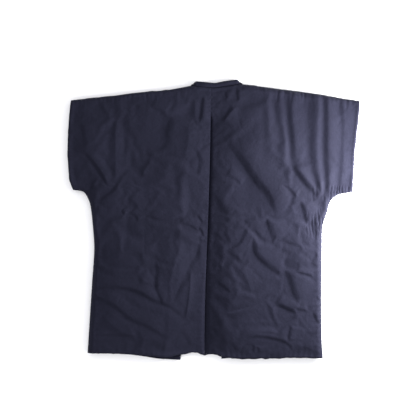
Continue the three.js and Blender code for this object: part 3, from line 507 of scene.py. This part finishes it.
def pucker_height(x, y, to_shoulder, to_side, to_centre, to_hem, to_cuff):
    """Small gathers that run in from the seams: waves along a seam, exp(-d/reach) away from it, with
    lumpy strength; and the longer puckers of the shoulders, one by one."""
    total = np.zeros(x.shape)
    for start, long, depth in SHOULDER_PUCKERS:
        lean = 0.12 * long * np.sin(start)
        off = (x - start - lean * to_shoulder / long) / 3.4
        total -= depth * np.exp(-off * off) * np.exp(-((to_shoulder / long) ** 2))
    waves = [
        (to_shoulder, x, 11.0, 13.0, 0.55, 41),
        (to_side, y, 14.0, 12.0, 0.7, 42),
        (to_centre, y, 12.0, 10.0, 0.55, 43),
        (to_hem, x, 15.0, 14.0, 0.5, 44),
        (to_cuff, y, 11.0, 10.0, 0.7, 45),
    ]
    for d, along, length, reach, height, seed in waves:
        phase = along / length * 2 * math.pi + 3.0 * lumps(x, y, 40, seed)
        strong = 0.35 + 0.65 * smooth(0.5 + 0.9 * lumps(along, 0 * along, 30, seed + 5))
        total += height * strong * np.sin(phase) * np.exp(-d / reach) * smooth(d / 4)
    return total


# ---------------------------------------------------------------- heights of the panels
def rest_height(side, x, y, to_sewn, to_neck):
    """Height of the surface that the back lies on, higher over the rolled neckband."""
    z = SIDE_SEAM_Z + (FRONT_LOFT - SIDE_SEAM_Z) * smooth(to_sewn / 17)
    point = SHOULDER_EDGE[0][side]
    from_point = np.hypot(x - point[0], y - point[1])
    neck_z = SIDE_SEAM_Z + (NECK_SEAM_Z - SIDE_SEAM_Z) * smooth(from_point / 34)
    return np.maximum(z, neck_z * (1 - smooth(to_neck / 46)))


def dips(x, y):
    """How far the back dips between the two bands: (its underside, its upper face)."""
    depth = DIP_LOW + (DIP_HIGH - DIP_LOW) * smooth((y + 100) / 300)
    away = neck_hole.away(x, y)
    hole = inside(hole_outline, x, y)
    upper = smooth((DIP_REACH + np.where(hole, away, -away)) / (2 * DIP_REACH))
    return np.where(hole, depth * smooth((away - 3) / 30), 0), depth * upper


def back_faces(side, x, y, fine=True):
    """(underside, upper face, distance to the nearest rim) of a back panel; without its finest relief
    for the simulation."""
    to_side = side_edge[side].away(x, y)
    to_shoulder = shoulder_edge[side].away(x, y)
    to_centre = centre_seam.away(x, y)
    to_neck = neckline[side].away(x, y)
    to_hem = back_hem[side].away(x, y)
    to_cuff = cuff_edge[side].away(x, y)
    to_open = np.minimum(to_cuff, to_hem)
    to_sewn = np.minimum(to_side, to_shoulder)
    to_rim = nearest_of(to_side, to_shoulder, to_neck, to_open)
    loft = BACK_RIM_LOFT + (BACK_LOFT - BACK_RIM_LOFT) * smooth(to_rim / CROWN_REACH)
    pinch = rounded(to_side, SIDE_ROUND) * rounded(to_shoulder, SHOULDER_ROUND)
    nose = rounded(to_open, OPEN_ROUND)
    rim = JOINED_EDGE / BACK_LOFT
    seam_edge = SEAM_EDGE[side] + (SEAM_EDGE_LOW[side] - SEAM_EDGE[side]) * smooth(-y / WAIST_REACH)
    to_high = smooth((y - NECK_EDGE_FROM) / NECK_EDGE_REACH)
    seam_rim = (seam_edge + (SEAM_EDGE_NECK - seam_edge) * to_high) / BACK_LOFT
    from_seam = np.clip(to_centre / SEAM_REACH[side], 0, 1)
    joined = 1 - (1 - seam_rim) * (1 - from_seam) ** SEAM_SWELL
    joined = joined * (rim + (1 - rim) * rounded(to_neck, NECK_ROUND))
    middle = (loft - SEWN_EDGE) * joined
    under = rest_height(side, x, y, to_sewn, to_neck) + GAP / 2 + middle / 2 * (1 - nose) * pinch
    upper = under + SEWN_EDGE + middle * pinch * nose
    nearest = nearest_of(to_rim, to_centre)
    calm = smooth(nearest / RELIEF_EASE)
    upper = upper + crease_height(x, y) * (0.25 + 0.75 * calm) * smooth(nearest / 5)
    broad = broad_height(x, y) + 1.5 * lumps(x, y, 78, 11) + 0.45 * lumps(x, y, 40, 12)
    upper = upper + broad * smooth(to_rim / RELIEF_EASE)
    if side == "right":
        upper = upper + pleat_height(x, y) * smooth(nearest / 12)
    low = smooth((-60 - y) / 200)
    groove = 4.0 + 3 * low if side == "right" else 1.0 + 4 * low
    deep = (2.6 if side == "right" else 0.0) * (1 - 0.85 * smooth((y - 255) / 30)) + 4.2 * low
    upper = upper - deep * np.exp(-((to_centre / groove) ** 1.5))
    if fine:
        relief = 0.35 * small_creases(x, y, 66, 0.12, 21) + 0.22 * small_creases(x, y, 34, 0.15, 31)
        relief += 0.16 * lumps(x, y, 19, 13) + 0.08 * lumps(x, y, 9, 14)
        upper = upper + relief * calm
        pucker = pucker_height(x, y, to_shoulder, to_side, to_centre, to_hem, to_cuff)
        gather = gather_height(x, y, to_side)
        from_foot = smooth(np.hypot(to_side, to_cuff) / 25)
        upper = upper + (pucker * smooth(nearest / 5) + gather * smooth(nearest / 4)) * from_foot
    under_dip, upper_dip = dips(x, y)
    under = under - under_dip
    return under, np.maximum(upper - upper_dip, under + LEAST_EDGE), nearest


def front_faces(side, x, y):
    """(underside, upper face, distance to the nearest rim) of a front panel."""
    to_sewn = np.minimum(side_edge[side].away(x, y), shoulder_edge[side].away(x, y))
    to_band = band_front[side].away(x, y)
    to_open = np.minimum(cuff_edge[side].away(x, y), front_hem[side].away(x, y))
    z = BAND_THICK + (FRONT_LOFT - BAND_THICK) * smooth(to_band / 26)
    rest = SIDE_SEAM_Z + (z - SIDE_SEAM_Z) * smooth((to_sewn - 5) / 28) - GAP / 2
    sewn = rounded(to_sewn, SIDE_ROUND)
    joined = rounded(to_band, SIDE_ROUND)
    nose = rounded(to_open, OPEN_ROUND)
    corner = band_front[side].points[0]
    near_point = smooth(np.hypot(x - corner[0], y - corner[1]) / 60)
    seam_lift = SIDE_SEAM_Z - GAP / 2 - SEWN_EDGE
    middle = BAND_THICK / 2 - JOINED_EDGE / 2
    band_lift = seam_lift + (middle - seam_lift) * near_point
    under = np.maximum(seam_lift * (1 - sewn), band_lift * (1 - joined))
    upper = rest - middle * (1 - joined) * near_point
    half = (upper - under - SEWN_EDGE) / 2
    nearest = np.minimum(np.minimum(to_sewn, to_band), to_open)
    creased = 0.9 * small_creases(x, y, 62, 0.2, 61) + 0.6 * small_creases(x, y, 34, 0.24, 71)
    creased += 0.35 * lumps(x, y, 46, 63)
    lift = np.maximum(0, -creased) * smooth(nearest / 10)
    return under + half * (1 - nose) + lift * nose, upper - half * (1 - nose), nearest


# ---------------------------------------------------------------- meshes
def spread(length, pitch, fine, reach):
    """Shares of a length: steps of about fine at both ends, widening over reach to about pitch."""
    marks = [0.0]
    while marks[-1] < length / 2:
        marks.append(marks[-1] + fine + (pitch - fine) * min(1.0, marks[-1] / reach))
    half = np.array(marks) * (length / 2) / marks[-1]
    return np.concatenate([half, length - half[-2::-1]]) / length


def spanned(inner, outer, hem, head, u, v):
    """Coons patch over four edges: both pairs blended linearly, less the blend of the corners."""
    u, v = u[None, :, None], v[:, None, None]
    a, b = inner.at(v[:, 0, 0])[:, None], outer.at(v[:, 0, 0])[:, None]
    c, d = hem.at(u[0, :, 0])[None], head.at(u[0, :, 0])[None]
    corners = (1 - u) * (1 - v) * c[:, :1] + u * (1 - v) * c[:, -1:]
    corners = corners + (1 - u) * v * d[:, :1] + u * v * d[:, -1:]
    return (1 - u) * a + u * b + (1 - v) * c + v * d - corners


def write_mesh(name, points, faces, rim_closeness, cut):
    """A mesh from arrays: points in millimetres, faces, how close each point is to a rim, and its
    place on the flat cloth in metres."""
    placed = (points + [MIDDLE[0], MIDDLE[1], 0]) * MM
    quads = np.array([f if len(f) == 4 else (*f, -1) for f in faces], int)
    a, b, c = (placed[quads[:, k]] for k in range(3))
    volume = (a * np.cross(b, c)).sum()
    third = quads[:, 3] >= 0
    d = placed[quads[third, 3]]
    volume += (a[third] * np.cross(c[third], d)).sum()
    if volume < 0:
        faces = [f[::-1] for f in faces]
    mesh = bpy.data.meshes.new(name)
    mesh.from_pydata(placed.tolist(), [], faces)
    mesh.polygons.foreach_set("use_smooth", np.ones(len(faces), bool))
    mesh.attributes.new("rim_closeness", "FLOAT", "POINT").data.foreach_set("value", rim_closeness.astype(np.float32))
    corners = np.zeros(len(mesh.loops), int)
    mesh.loops.foreach_get("vertex_index", corners)
    mesh.uv_layers.new(name="cut").data.foreach_set("uv", cut[corners].astype(np.float32).ravel())
    mesh.update()
    piece = bpy.data.objects.new(name, mesh)
    bpy.context.scene.collection.objects.link(piece)
    return piece


def squares(q, turned=False):
    """The quads of a grid of point numbers, turned over where they face down."""
    corners = [q[:-1, :-1], q[:-1, 1:], q[1:, 1:], q[1:, :-1]]
    if turned:
        corners = corners[:1] + corners[:0:-1]
    return np.stack(corners, -1).reshape(-1, 4).tolist()


def softened(field, times):
    """A grid of vectors, smoothed that many times by (1, 2, 1)/4 along both its axes."""
    for _ in range(times):
        for axis in (0, 1):
            field = (np.roll(field, 1, axis) + 2 * field + np.roll(field, -1, axis)) / 4
    return field


def settled(side, inner, outer, hem, head):
    """Cloth simulation of a back's outer cloth: a little larger than the wadding under it, which holds
    it softly by its crown and firmly along its creases and seams. Returns how far each point of an even
    grid moves, less most of the slow part, with the length of each move limited to
    r / sqrt(1 + (r / limit)^2)."""
    columns = np.linspace(0, 1, int(head.length / SIM_PITCH))
    rows = np.linspace(0, 1, int(outer.length / SIM_PITCH))
    plan = spanned(inner, outer, hem, head, columns, rows)
    x, y = plan[..., 0], plan[..., 1]
    under, upper, nearest = back_faces(side, x, y, fine=False)
    start = np.stack([x, y, upper], -1)
    mesh = bpy.data.meshes.new("outer_cloth")
    faces = squares(np.arange(x.size).reshape(x.shape))
    mesh.from_pydata((start * MM).reshape(-1, 3).tolist(), [], faces)
    sheet = bpy.data.objects.new("outer_cloth", mesh)
    bpy.context.scene.collection.objects.link(sheet)
    hold = SIM_HOLD * (1 + 0.8 * lumps(x, y, 50, 91)) + 0.5 * np.clip(np.abs(crease_height(x, y)) / 2.5, 0, 1)
    hold = np.clip(np.maximum(hold, 1 - smooth(nearest / 9)), 0.01, 1).ravel()
    group = sheet.vertex_groups.new(name="held")
    for k, weight in enumerate(hold):
        group.add([k], float(weight), "REPLACE")
    cloth = sheet.modifiers.new("Cloth", "CLOTH")
    settings = dict(
        quality=5, mass=0.3, tension_stiffness=15, compression_stiffness=15, shear_stiffness=5,
        bending_stiffness=0.5, vertex_group_mass="held", pin_stiffness=1, shrink_min=-SIM_EASE[side],
        use_pressure=True, uniform_pressure_force=0.1,
    )
    for key, value in settings.items():
        setattr(cloth.settings, key, value)
    cloth.settings.effector_weights.gravity = 0
    cloth.collision_settings.use_collision = False
    cloth.point_cache.frame_start, cloth.point_cache.frame_end = 1, SIM_FRAMES
    for moment in range(1, SIM_FRAMES + 1):
        bpy.context.scene.frame_set(moment)
    found = sheet.evaluated_get(bpy.context.evaluated_depsgraph_get()).data
    ends = np.zeros(3 * x.size)
    found.vertices.foreach_get("co", ends)
    bpy.data.objects.remove(sheet)
    bpy.context.scene.frame_set(1)
    moved = ends.reshape(start.shape) / MM - start
    moved = softened(moved, 1)
    moved = moved - SIM_SLOW * softened(moved, SIM_PASSES)
    far = np.linalg.norm(moved, axis=-1, keepdims=True)
    return moved / np.sqrt(1 + (far / SIM_LIMIT) ** 2)


def between(field, rows, columns):
    """An even grid of values read at other shares: Catmull-Rom cubics along the rows, then along the
    columns."""
    for axis, shares in ((0, rows), (1, columns)):
        last = field.shape[axis] - 1
        place = np.asarray(shares) * last
        i = np.clip(np.floor(place).astype(int), 0, last - 1)
        t = (place - i).reshape([-1 if k == axis else 1 for k in range(field.ndim)])
        a, b, c, d = (field.take(np.clip(i + k, 0, last), axis) for k in (-1, 0, 1, 2))
        field = b + t * ((c - a) / 2 + t * (a - 2.5 * b + 2 * c - d / 2 + t * (1.5 * (b - c) + (d - a) / 2)))
    return field


def cushion(name, plan, faces_of, side, moved=0.0):
    """Closed cushion over a grid: the upper face on every line, the underside on every second one, and
    a wall of three triangles to each of the underside's edges."""
    x, y = plan[..., 0], plan[..., 1]
    under, upper, nearest = faces_of(side, x, y)
    rim_closeness = np.exp(-nearest / 5)
    top = np.stack([x, y, upper], -1) + moved
    foot = np.stack([x, y, under], -1)[::2, ::2]
    n, m = x.shape
    top_at = np.arange(n * m).reshape(n, m)
    foot_at = n * m + np.arange(foot.shape[0] * foot.shape[1]).reshape(foot.shape[:2])
    points = np.vstack([top.reshape(-1, 3), foot.reshape(-1, 3)])
    faces = squares(top_at) + squares(foot_at, turned=True)
    loops = [(top_at[0], foot_at[0]), (top_at[:, -1], foot_at[:, -1]),
             (top_at[-1][::-1], foot_at[-1][::-1]), (top_at[:, 0][::-1], foot_at[:, 0][::-1])]
    for t, f in loops:
        a, b, c, d, e = t[:-2:2], t[1:-1:2], t[2::2], f[:-1], f[1:]
        faces += np.stack([a, d, b, b, d, e, b, e, c], -1).reshape(-1, 3).tolist()
    rim_closeness = np.concatenate([rim_closeness.ravel(), rim_closeness[::2, ::2].ravel()])
    cut = np.stack([x, y], -1) * MM
    cut = np.vstack([cut.reshape(-1, 2), cut[::2, ::2].reshape(-1, 2)])
    return write_mesh(name, points, faces, rim_closeness, cut)


def odd_count(shares):
    """The same shares with one more in the middle if their number is even."""
    if len(shares) % 2:
        return shares
    k = len(shares) // 2
    return np.insert(shares, k, (shares[k - 1] + shares[k]) / 2)


def drawn_up(side, plan):
    """The plan with its hem, cuff and shoulder drawn in and out a little by their stitches: waves along
    each edge, fading inwards as exp(-d/9)."""
    x, y = plan[..., 0], plan[..., 1]
    at_hem = np.exp(-back_hem[side].away(x, y) / 9)
    at_head = np.exp(-shoulder_edge[side].away(x, y) / 9)
    at_cuff = np.exp(-cuff_edge[side].away(x, y) / 9)
    wave = 1.3 * lumps(x, 0 * x, 13, 51) + 0.8 * lumps(x, 0 * x, 6.5, 52)
    up = wave * at_hem + 0.8 * lumps(x, 0 * x, 17, 53) * at_head
    out = 0.7 * lumps(y, 0 * y, 16, 54) * at_cuff
    return plan + np.stack([out, up], -1)


def back_panel(side):
    """A back, spanned between the centre seam, hem, side and cuff, and neck and shoulder, with its outer
    cloth moved as the simulation found, less on the sleeve and least at the shoulder."""
    inner = centre_seam.moved(SIGN[side] * SEAM_SLIT)
    outer = side_edge[side].then(cuff_edge[side])
    head = neckline[side].then(shoulder_edge[side])
    hem = back_hem[side].back()
    columns = odd_count(spread(head.length, **BACK_MESH))
    rows = odd_count(spread(outer.length, **BACK_MESH))
    plan = drawn_up(side, spanned(inner, outer, hem, head, columns, rows))
    moved = 0.0
    moved = between(settled(side, inner, outer, hem, head), rows, columns)
    x, y = plan[..., 0], plan[..., 1]
    sleeve = smooth((x - SLEEVE_FROM[0]) / 40) * smooth((y - SLEEVE_FROM[1]) / 40)
    shoulder = mound(x, y, *SHOULDER_CALM)
    share = (0.85 + 0.3 * lumps(x, y, 110, 95)) * (1 - 0.6 * sleeve - 0.75 * shoulder)
    moved = moved * share[..., None]
    return cushion("back_cloth_" + side, plan, back_faces, side, moved)


def front_panel(side):
    """A front, spanned between the neckband, hem, side and cuff, and shoulder."""
    inner = band_front[side].back().moved(SIGN[side] * FRONT_SLIT)
    outer = side_edge[side].then(cuff_edge[side])
    columns = odd_count(spread(shoulder_edge[side].length, **FRONT_MESH))
    rows = odd_count(spread(outer.length, **FRONT_MESH))
    plan = spanned(inner, outer, front_hem[side].back(), shoulder_edge[side], columns, rows)
    return cushion("front_cloth_" + side, plan, front_faces, side)


def band_section(before, after, part, seam, free, across):
    """A section of the neckband: straight out from the seam by the leg, over through an arc of radius r
    that starts at the angle psi, then straight in to the loose edge on the floor layer. Returns its
    points, r, and how far past the fold each point is."""
    z_seam = before["z"] + (after["z"] - before["z"]) * part
    roll = before["roll"] + (after["roll"] - before["roll"]) * part
    drop = max(0.0, z_seam - BAND_THICK / 2)
    psi, leg = -math.pi, 0.0
    if roll > drop / 2:
        psi, leg = 0.0, roll - drop / 2
    elif drop >= LEAST_DROP:
        psi = -0.5 * math.pi * (1 - roll / (drop / 2))
    r = drop / (1 + math.cos(psi)) if psi > -math.pi and drop > 1e-6 else 0.0
    arc = r * (psi + math.pi)
    foot = seam + [0, leg + r * math.sin(psi) if r > 0 else 0]
    inward = np.linalg.norm(free - foot)
    s = across * (leg + arc + inward)
    on_leg, on_arc = s <= leg, s < leg + arc
    turn = psi - (s - leg) / max(r, 1e-9)
    bent_y = seam[1] + (leg + r * (math.sin(psi) - np.sin(turn)))
    bent_z = z_seam + r * (np.cos(turn) - math.cos(psi))
    along = (s - leg - arc) / inward
    settle = 1.0 if r > 0 else smooth(along * 2.5)
    flat = foot + (free - foot) * along[:, None]
    x = np.where(on_leg | on_arc, seam[0], flat[:, 0])
    y = np.where(on_leg, seam[1] + s, np.where(on_arc, bent_y, flat[:, 1]))
    z = np.where(on_leg, z_seam, np.where(on_arc, bent_z, z_seam - drop * settle))
    return np.stack([x, y, z], -1), r, s - 2 * leg - arc


def fold_room(middle, radii, past_fold):
    """Half the thickness that the neckband's fold leaves room for: a share of its radius, and more past
    the fold and beside its end."""
    fold_end = int(np.flatnonzero(radii > 0)[-1])
    folded = (np.arange(len(radii)) <= fold_end)[:, None]
    radius = np.where(folded, radii[:, None], radii[fold_end])
    beside = FOLD_SLOPE * np.linalg.norm(middle - middle[fold_end, 0], axis=2)
    room = FOLD_FILL * radius * np.minimum(1, radius / FOLD_TIGHT)
    return room + np.where(folded, BAND_THICK * smooth(past_fold / FOLD_EASE), beside)


def neckband(side):
    """Half of the neckband: its sections make a middle surface, and half the thickness goes to each side
    along its normals, as far as the fold leaves room."""
    table = NECKBAND[side]
    last = len(table) - 1
    neck = spline([row["seam"] for row in table[:NECK_POINT + 1]], 40)
    down = spline([row["seam"] for row in table[NECK_POINT:]], 40)
    seam_points = np.vstack([neck, down[1:]])
    free_points = spline([row["free"] for row in table], 40)
    index = np.linspace(0, last, len(free_points))
    rolled = np.linspace(0, NECK_POINT + 2, 90)
    plain = np.linspace(NECK_POINT + 2, last, 150)
    stations = np.concatenate([rolled, plain[1:]])
    stations = np.concatenate([[0, 0.02, 0.05], stations[1:-1], last - np.array([0.02, 0.01, 0.004, 0])])
    across = spread(1.0, **BAND_MESH)
    sections = []
    for t in stations:
        i = min(last - 1, int(t))
        seam = np.array([np.interp(t, index, seam_points[:, k]) for k in (0, 1)])
        free = np.array([np.interp(t, index, free_points[:, k]) for k in (0, 1)])
        sections.append(band_section(table[i], table[i + 1], float(smooth(t - i)), seam, free, across))
    middle, radii, past_fold = (np.array(part) for part in zip(*sections))
    normal = np.cross(np.gradient(middle, axis=0), np.gradient(middle, axis=1)) * -SIGN[side]
    normal[0, :, 0] = 0
    normal /= np.maximum(np.linalg.norm(normal, axis=2, keepdims=True), 1e-9)
    swell = JOINED_EDGE + (BAND_THICK - JOINED_EDGE) * rounded(across * BAND_WIDTH, 8)
    thick = SEWN_EDGE + (swell - SEWN_EDGE) * rounded((1 - across) * BAND_WIDTH, 4)
    steps = np.linalg.norm(np.diff(middle[:, len(across) // 2], axis=0), axis=1)
    run = np.concatenate([[0], np.cumsum(steps)])
    ends = rounded(run[-1] - run, 5)
    room = fold_room(middle, radii, past_fold)
    half = np.minimum((SEWN_EDGE + (thick[None] - SEWN_EDGE) * ends[:, None]) / 2, room)
    lay_x, lay_y = run[:, None] + 0 * across, across * BAND_WIDTH + 0 * run[:, None]
    pucker = 0.45 * np.sin(lay_x / 9 + 3 * lumps(lay_x, lay_y, 30, 81)) * np.exp(-lay_y / 9)
    pucker *= smooth(lay_y / 3)
    pucker += 0.4 * lumps(lay_x, lay_y, 22, 82) + 0.8 * small_creases(lay_x, lay_y, 26, 0.25, 83)
    half_top = np.minimum(half + np.where(half > 1.5, 0.5 * pucker, 0), room)
    upper = middle + normal * half_top[..., None]
    lower = middle - normal * half[..., None]
    upper[..., 2] = np.maximum(upper[..., 2], 0)
    lower[..., 2] = np.maximum(lower[..., 2], 0)
    top_at = np.arange(half.size).reshape(half.shape)
    faces = squares(top_at, turned=True) + squares(top_at + half.size)
    ring = np.concatenate([top_at[0, :-1], top_at[:-1, -1], top_at[-1, :0:-1], top_at[:0:-1, 0]])
    following = np.roll(ring, -1)
    faces += np.stack([ring, following, following + half.size, ring + half.size], -1).tolist()
    rim_closeness = np.exp(-(1 - across) * BAND_WIDTH / 6)[None] + 0 * half
    cut = np.stack([lay_y, lay_x], -1).reshape(-1, 2) * MM
    points = np.vstack([upper.reshape(-1, 3), lower.reshape(-1, 3)])
    rim_closeness, cut = np.tile(rim_closeness.ravel(), 2), np.vstack([cut, cut])
    return write_mesh("neckband_cloth_" + side, points, faces, rim_closeness, cut)


# ---------------------------------------------------------------- materials
THREAD_PITCH = 0.0011  # metres
DEEP_NAVY = (0.0045, 0.0047, 0.0096)
PALE_NAVY = (0.0141, 0.0144, 0.0264)
GLOSS = {
    "Specular IOR Level": 0.05, "Sheen Weight": 0.04, "Sheen Roughness": 0.45,
    "Sheen Tint": (0.72, 0.76, 1.0, 1),
}


class Sum:
    """A number that a material works out: a socket with the usual signs for arithmetic."""

    def __init__(self, tree, socket):
        self.tree, self.socket = tree, socket

    def math(self, operation, *others):
        node = self.tree.nodes.new("ShaderNodeMath")
        node.operation = operation
        for slot, value in zip(node.inputs, (self, *others)):
            if isinstance(value, Sum):
                self.tree.links.new(value.socket, slot)
            else:
                slot.default_value = value
        return Sum(self.tree, node.outputs[0])

    def __add__(self, other):
        return self.math("ADD", other)

    __radd__ = __add__

    def __sub__(self, other):
        return self.math("SUBTRACT", other)

    def __rsub__(self, other):
        return (self * -1) + other

    def __mul__(self, other):
        return self.math("MULTIPLY", other)

    __rmul__ = __mul__


class Finish:
    """One material, with its nodes made by node()."""

    def __init__(self, name):
        self.material = bpy.data.materials.new(name)
        self.material.use_nodes = True
        self.tree = self.material.node_tree
        self.shader = self.tree.nodes["Principled BSDF"]

    def node(self, kind, settings=None, **inputs):
        node = self.tree.nodes.new("ShaderNode" + kind)
        for key, value in (settings or {}).items():
            setattr(node, key, value)
        for key, value in inputs.items():
            self.give(node.inputs[key.replace("_", " ")], value)
        return node

    def give(self, slot, value):
        if isinstance(value, Sum):
            value = value.socket
        if isinstance(value, bpy.types.NodeSocket):
            self.tree.links.new(value, slot)
        else:
            slot.default_value = value

    def sum(self, socket):
        return Sum(self.tree, socket)

    def noise(self, place, scale, detail, roughness=0.5):
        """Cloudy noise from 0 to 1 over a place."""
        node = self.node("TexNoise", Vector=place, Scale=scale, Detail=detail, Roughness=roughness)
        return self.sum(node.outputs["Fac"])


def cotton(name, colour, light):
    """Plain-woven cotton: two sets of threads as a bump, slubs and faint streaks along them, uneven dye,
    a paler colour close to every rim and seam, and a dull sheen."""
    f = Finish(name)
    place = f.node("TexCoord").outputs["Object"]
    cut = f.node("UVMap", dict(uv_map="cut")).outputs["UV"]
    axes = f.node("SeparateXYZ", Vector=cut)
    u, v = f.sum(axes.outputs["X"]), f.sum(axes.outputs["Y"])
    thread = 2 * math.pi / THREAD_PITCH
    warp, weft = (u * thread).math("SINE"), (v * thread).math("SINE")
    weave = warp * weft
    slub_x = f.node("Mapping", Vector=cut, Scale=(90, 2200, 1)).outputs[0]
    slub_y = f.node("Mapping", Vector=cut, Scale=(2200, 90, 1)).outputs[0]
    slubs = f.noise(slub_x, 1.0, 2.0) + f.noise(slub_y, 1.0, 2.0)
    dye = f.noise(place, 9.0, 4.0, 0.55)
    mottle = f.noise(place, 120.0, 3.0, 0.6)
    rim_closeness = f.sum(f.node("Attribute", dict(attribute_name="rim_closeness")).outputs["Fac"])
    # the colour grows paler close to each rim and seam
    shade = (dye - 0.5) * 0.5 + (mottle - 0.5) * 0.4 + (slubs - 1.0) * 0.35 + rim_closeness * 0.18 + 0.42
    mix = f.node("Mix", dict(data_type="RGBA"))
    mix.inputs[6].default_value = (*colour, 1)
    mix.inputs[7].default_value = (*light, 1)
    f.give(mix.inputs[0], shade.math("MAXIMUM", 0.0).math("MINIMUM", 1.0))
    f.give(f.shader.inputs["Base Color"], mix.outputs[2])
    f.give(f.shader.inputs["Roughness"], (mottle - 0.5) * 0.12 + 0.82)
    fuzz = f.noise(place, 900.0, 2.0)
    crumple = f.noise(place, 160.0, 3.0)
    relief = weave * 0.00004 + slubs * 0.00012 + fuzz * 0.00008 + crumple * 0.0006
    bump = f.node("Bump", Strength=0.8, Distance=1.0, Height=relief)
    f.give(f.shader.inputs["Normal"], bump.outputs["Normal"])
    for slot, value in GLOSS.items():
        f.shader.inputs[slot].default_value = value
    return f.material


# ---------------------------------------------------------------- the vest
navy = cotton("navy_cotton", DEEP_NAVY, PALE_NAVY)
navy_band = cotton("navy_cotton_band", DEEP_NAVY, PALE_NAVY)

pieces = {}
for side in SIGN:
    pieces["back_" + side] = back_panel(side)
    pieces["front_" + side] = front_panel(side)
    pieces["neckband_" + side] = neckband(side)
for node, piece in pieces.items():
    band = node.startswith("neckband")
    piece.data.materials.append(navy_band if band else navy)
    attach(piece, "root")
    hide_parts(node)

# ---------------------------------------------------------------- floor, light, camera
FLOOR_HALF = 6.0  # metres
FLOOR_Z = -0.0006
CAMERA_AT = (-14.5, 29.6, 1534)
ROOM_LIGHT = 1.22


def floor():
    """A pale square just under the vest."""
    mesh = bpy.data.meshes.new("floor")
    plan = [(-1, -1), (1, -1), (1, 1), (-1, 1)]
    mesh.from_pydata([(x * FLOOR_HALF, y * FLOOR_HALF, FLOOR_Z) for x, y in plan], [], [(0, 1, 2, 3)])
    plane = bpy.data.objects.new("floor", mesh)
    bpy.context.scene.collection.objects.link(plane)
    f = Finish("pale_floor")
    f.shader.inputs["Base Color"].default_value = (0.95, 0.95, 0.95, 1)
    f.shader.inputs["Roughness"].default_value = 0.9
    mesh.materials.append(f.material)
    return plane


def lamp(name, place, target, size, power, colour):
    """A rectangular lamp at a place, tilted and turned to point at its target."""
    light = bpy.data.lights.new(name, "AREA")
    light.shape = "RECTANGLE"
    light.size, light.size_y = size
    light.energy = power
    light.color = colour
    holder = bpy.data.objects.new(name, light)
    bpy.context.scene.collection.objects.link(holder)
    holder.location = place
    away = np.array(target, float) - np.array(place, float)
    away /= np.linalg.norm(away)
    pitch = math.acos(-away[2])
    turn = math.atan2(-away[0], away[1])
    holder.rotation_euler = (pitch, 0, turn)
    return holder


ground = floor()
world = bpy.data.worlds.new("soft_room")
world.use_nodes = True
world.node_tree.nodes["Background"].inputs["Color"].default_value = (0.97, 0.97, 1.0, 1)
world.node_tree.nodes["Background"].inputs["Strength"].default_value = ROOM_LIGHT
bpy.context.scene.world = world
lamp("window", (0.65, 0.09, 0.18), (0.0, 0.03, 0.0), (0.26, 0.42), 38.5, (1.0, 0.99, 1.0))

camera = bpy.data.objects.new("camera", bpy.data.cameras.new("camera"))
bpy.context.scene.collection.objects.link(camera)
camera.data.lens = 50.0
camera.data.sensor_width = 36.0
camera.location = ((CAMERA_AT[0] + MIDDLE[0]) * MM, (CAMERA_AT[1] + MIDDLE[1]) * MM, CAMERA_AT[2] * MM)
camera.rotation_euler = (0, 0, 0)
bpy.context.scene.camera = camera
bpy.context.scene.view_settings.view_transform = "Standard"
bpy.context.scene.view_settings.look = "None"
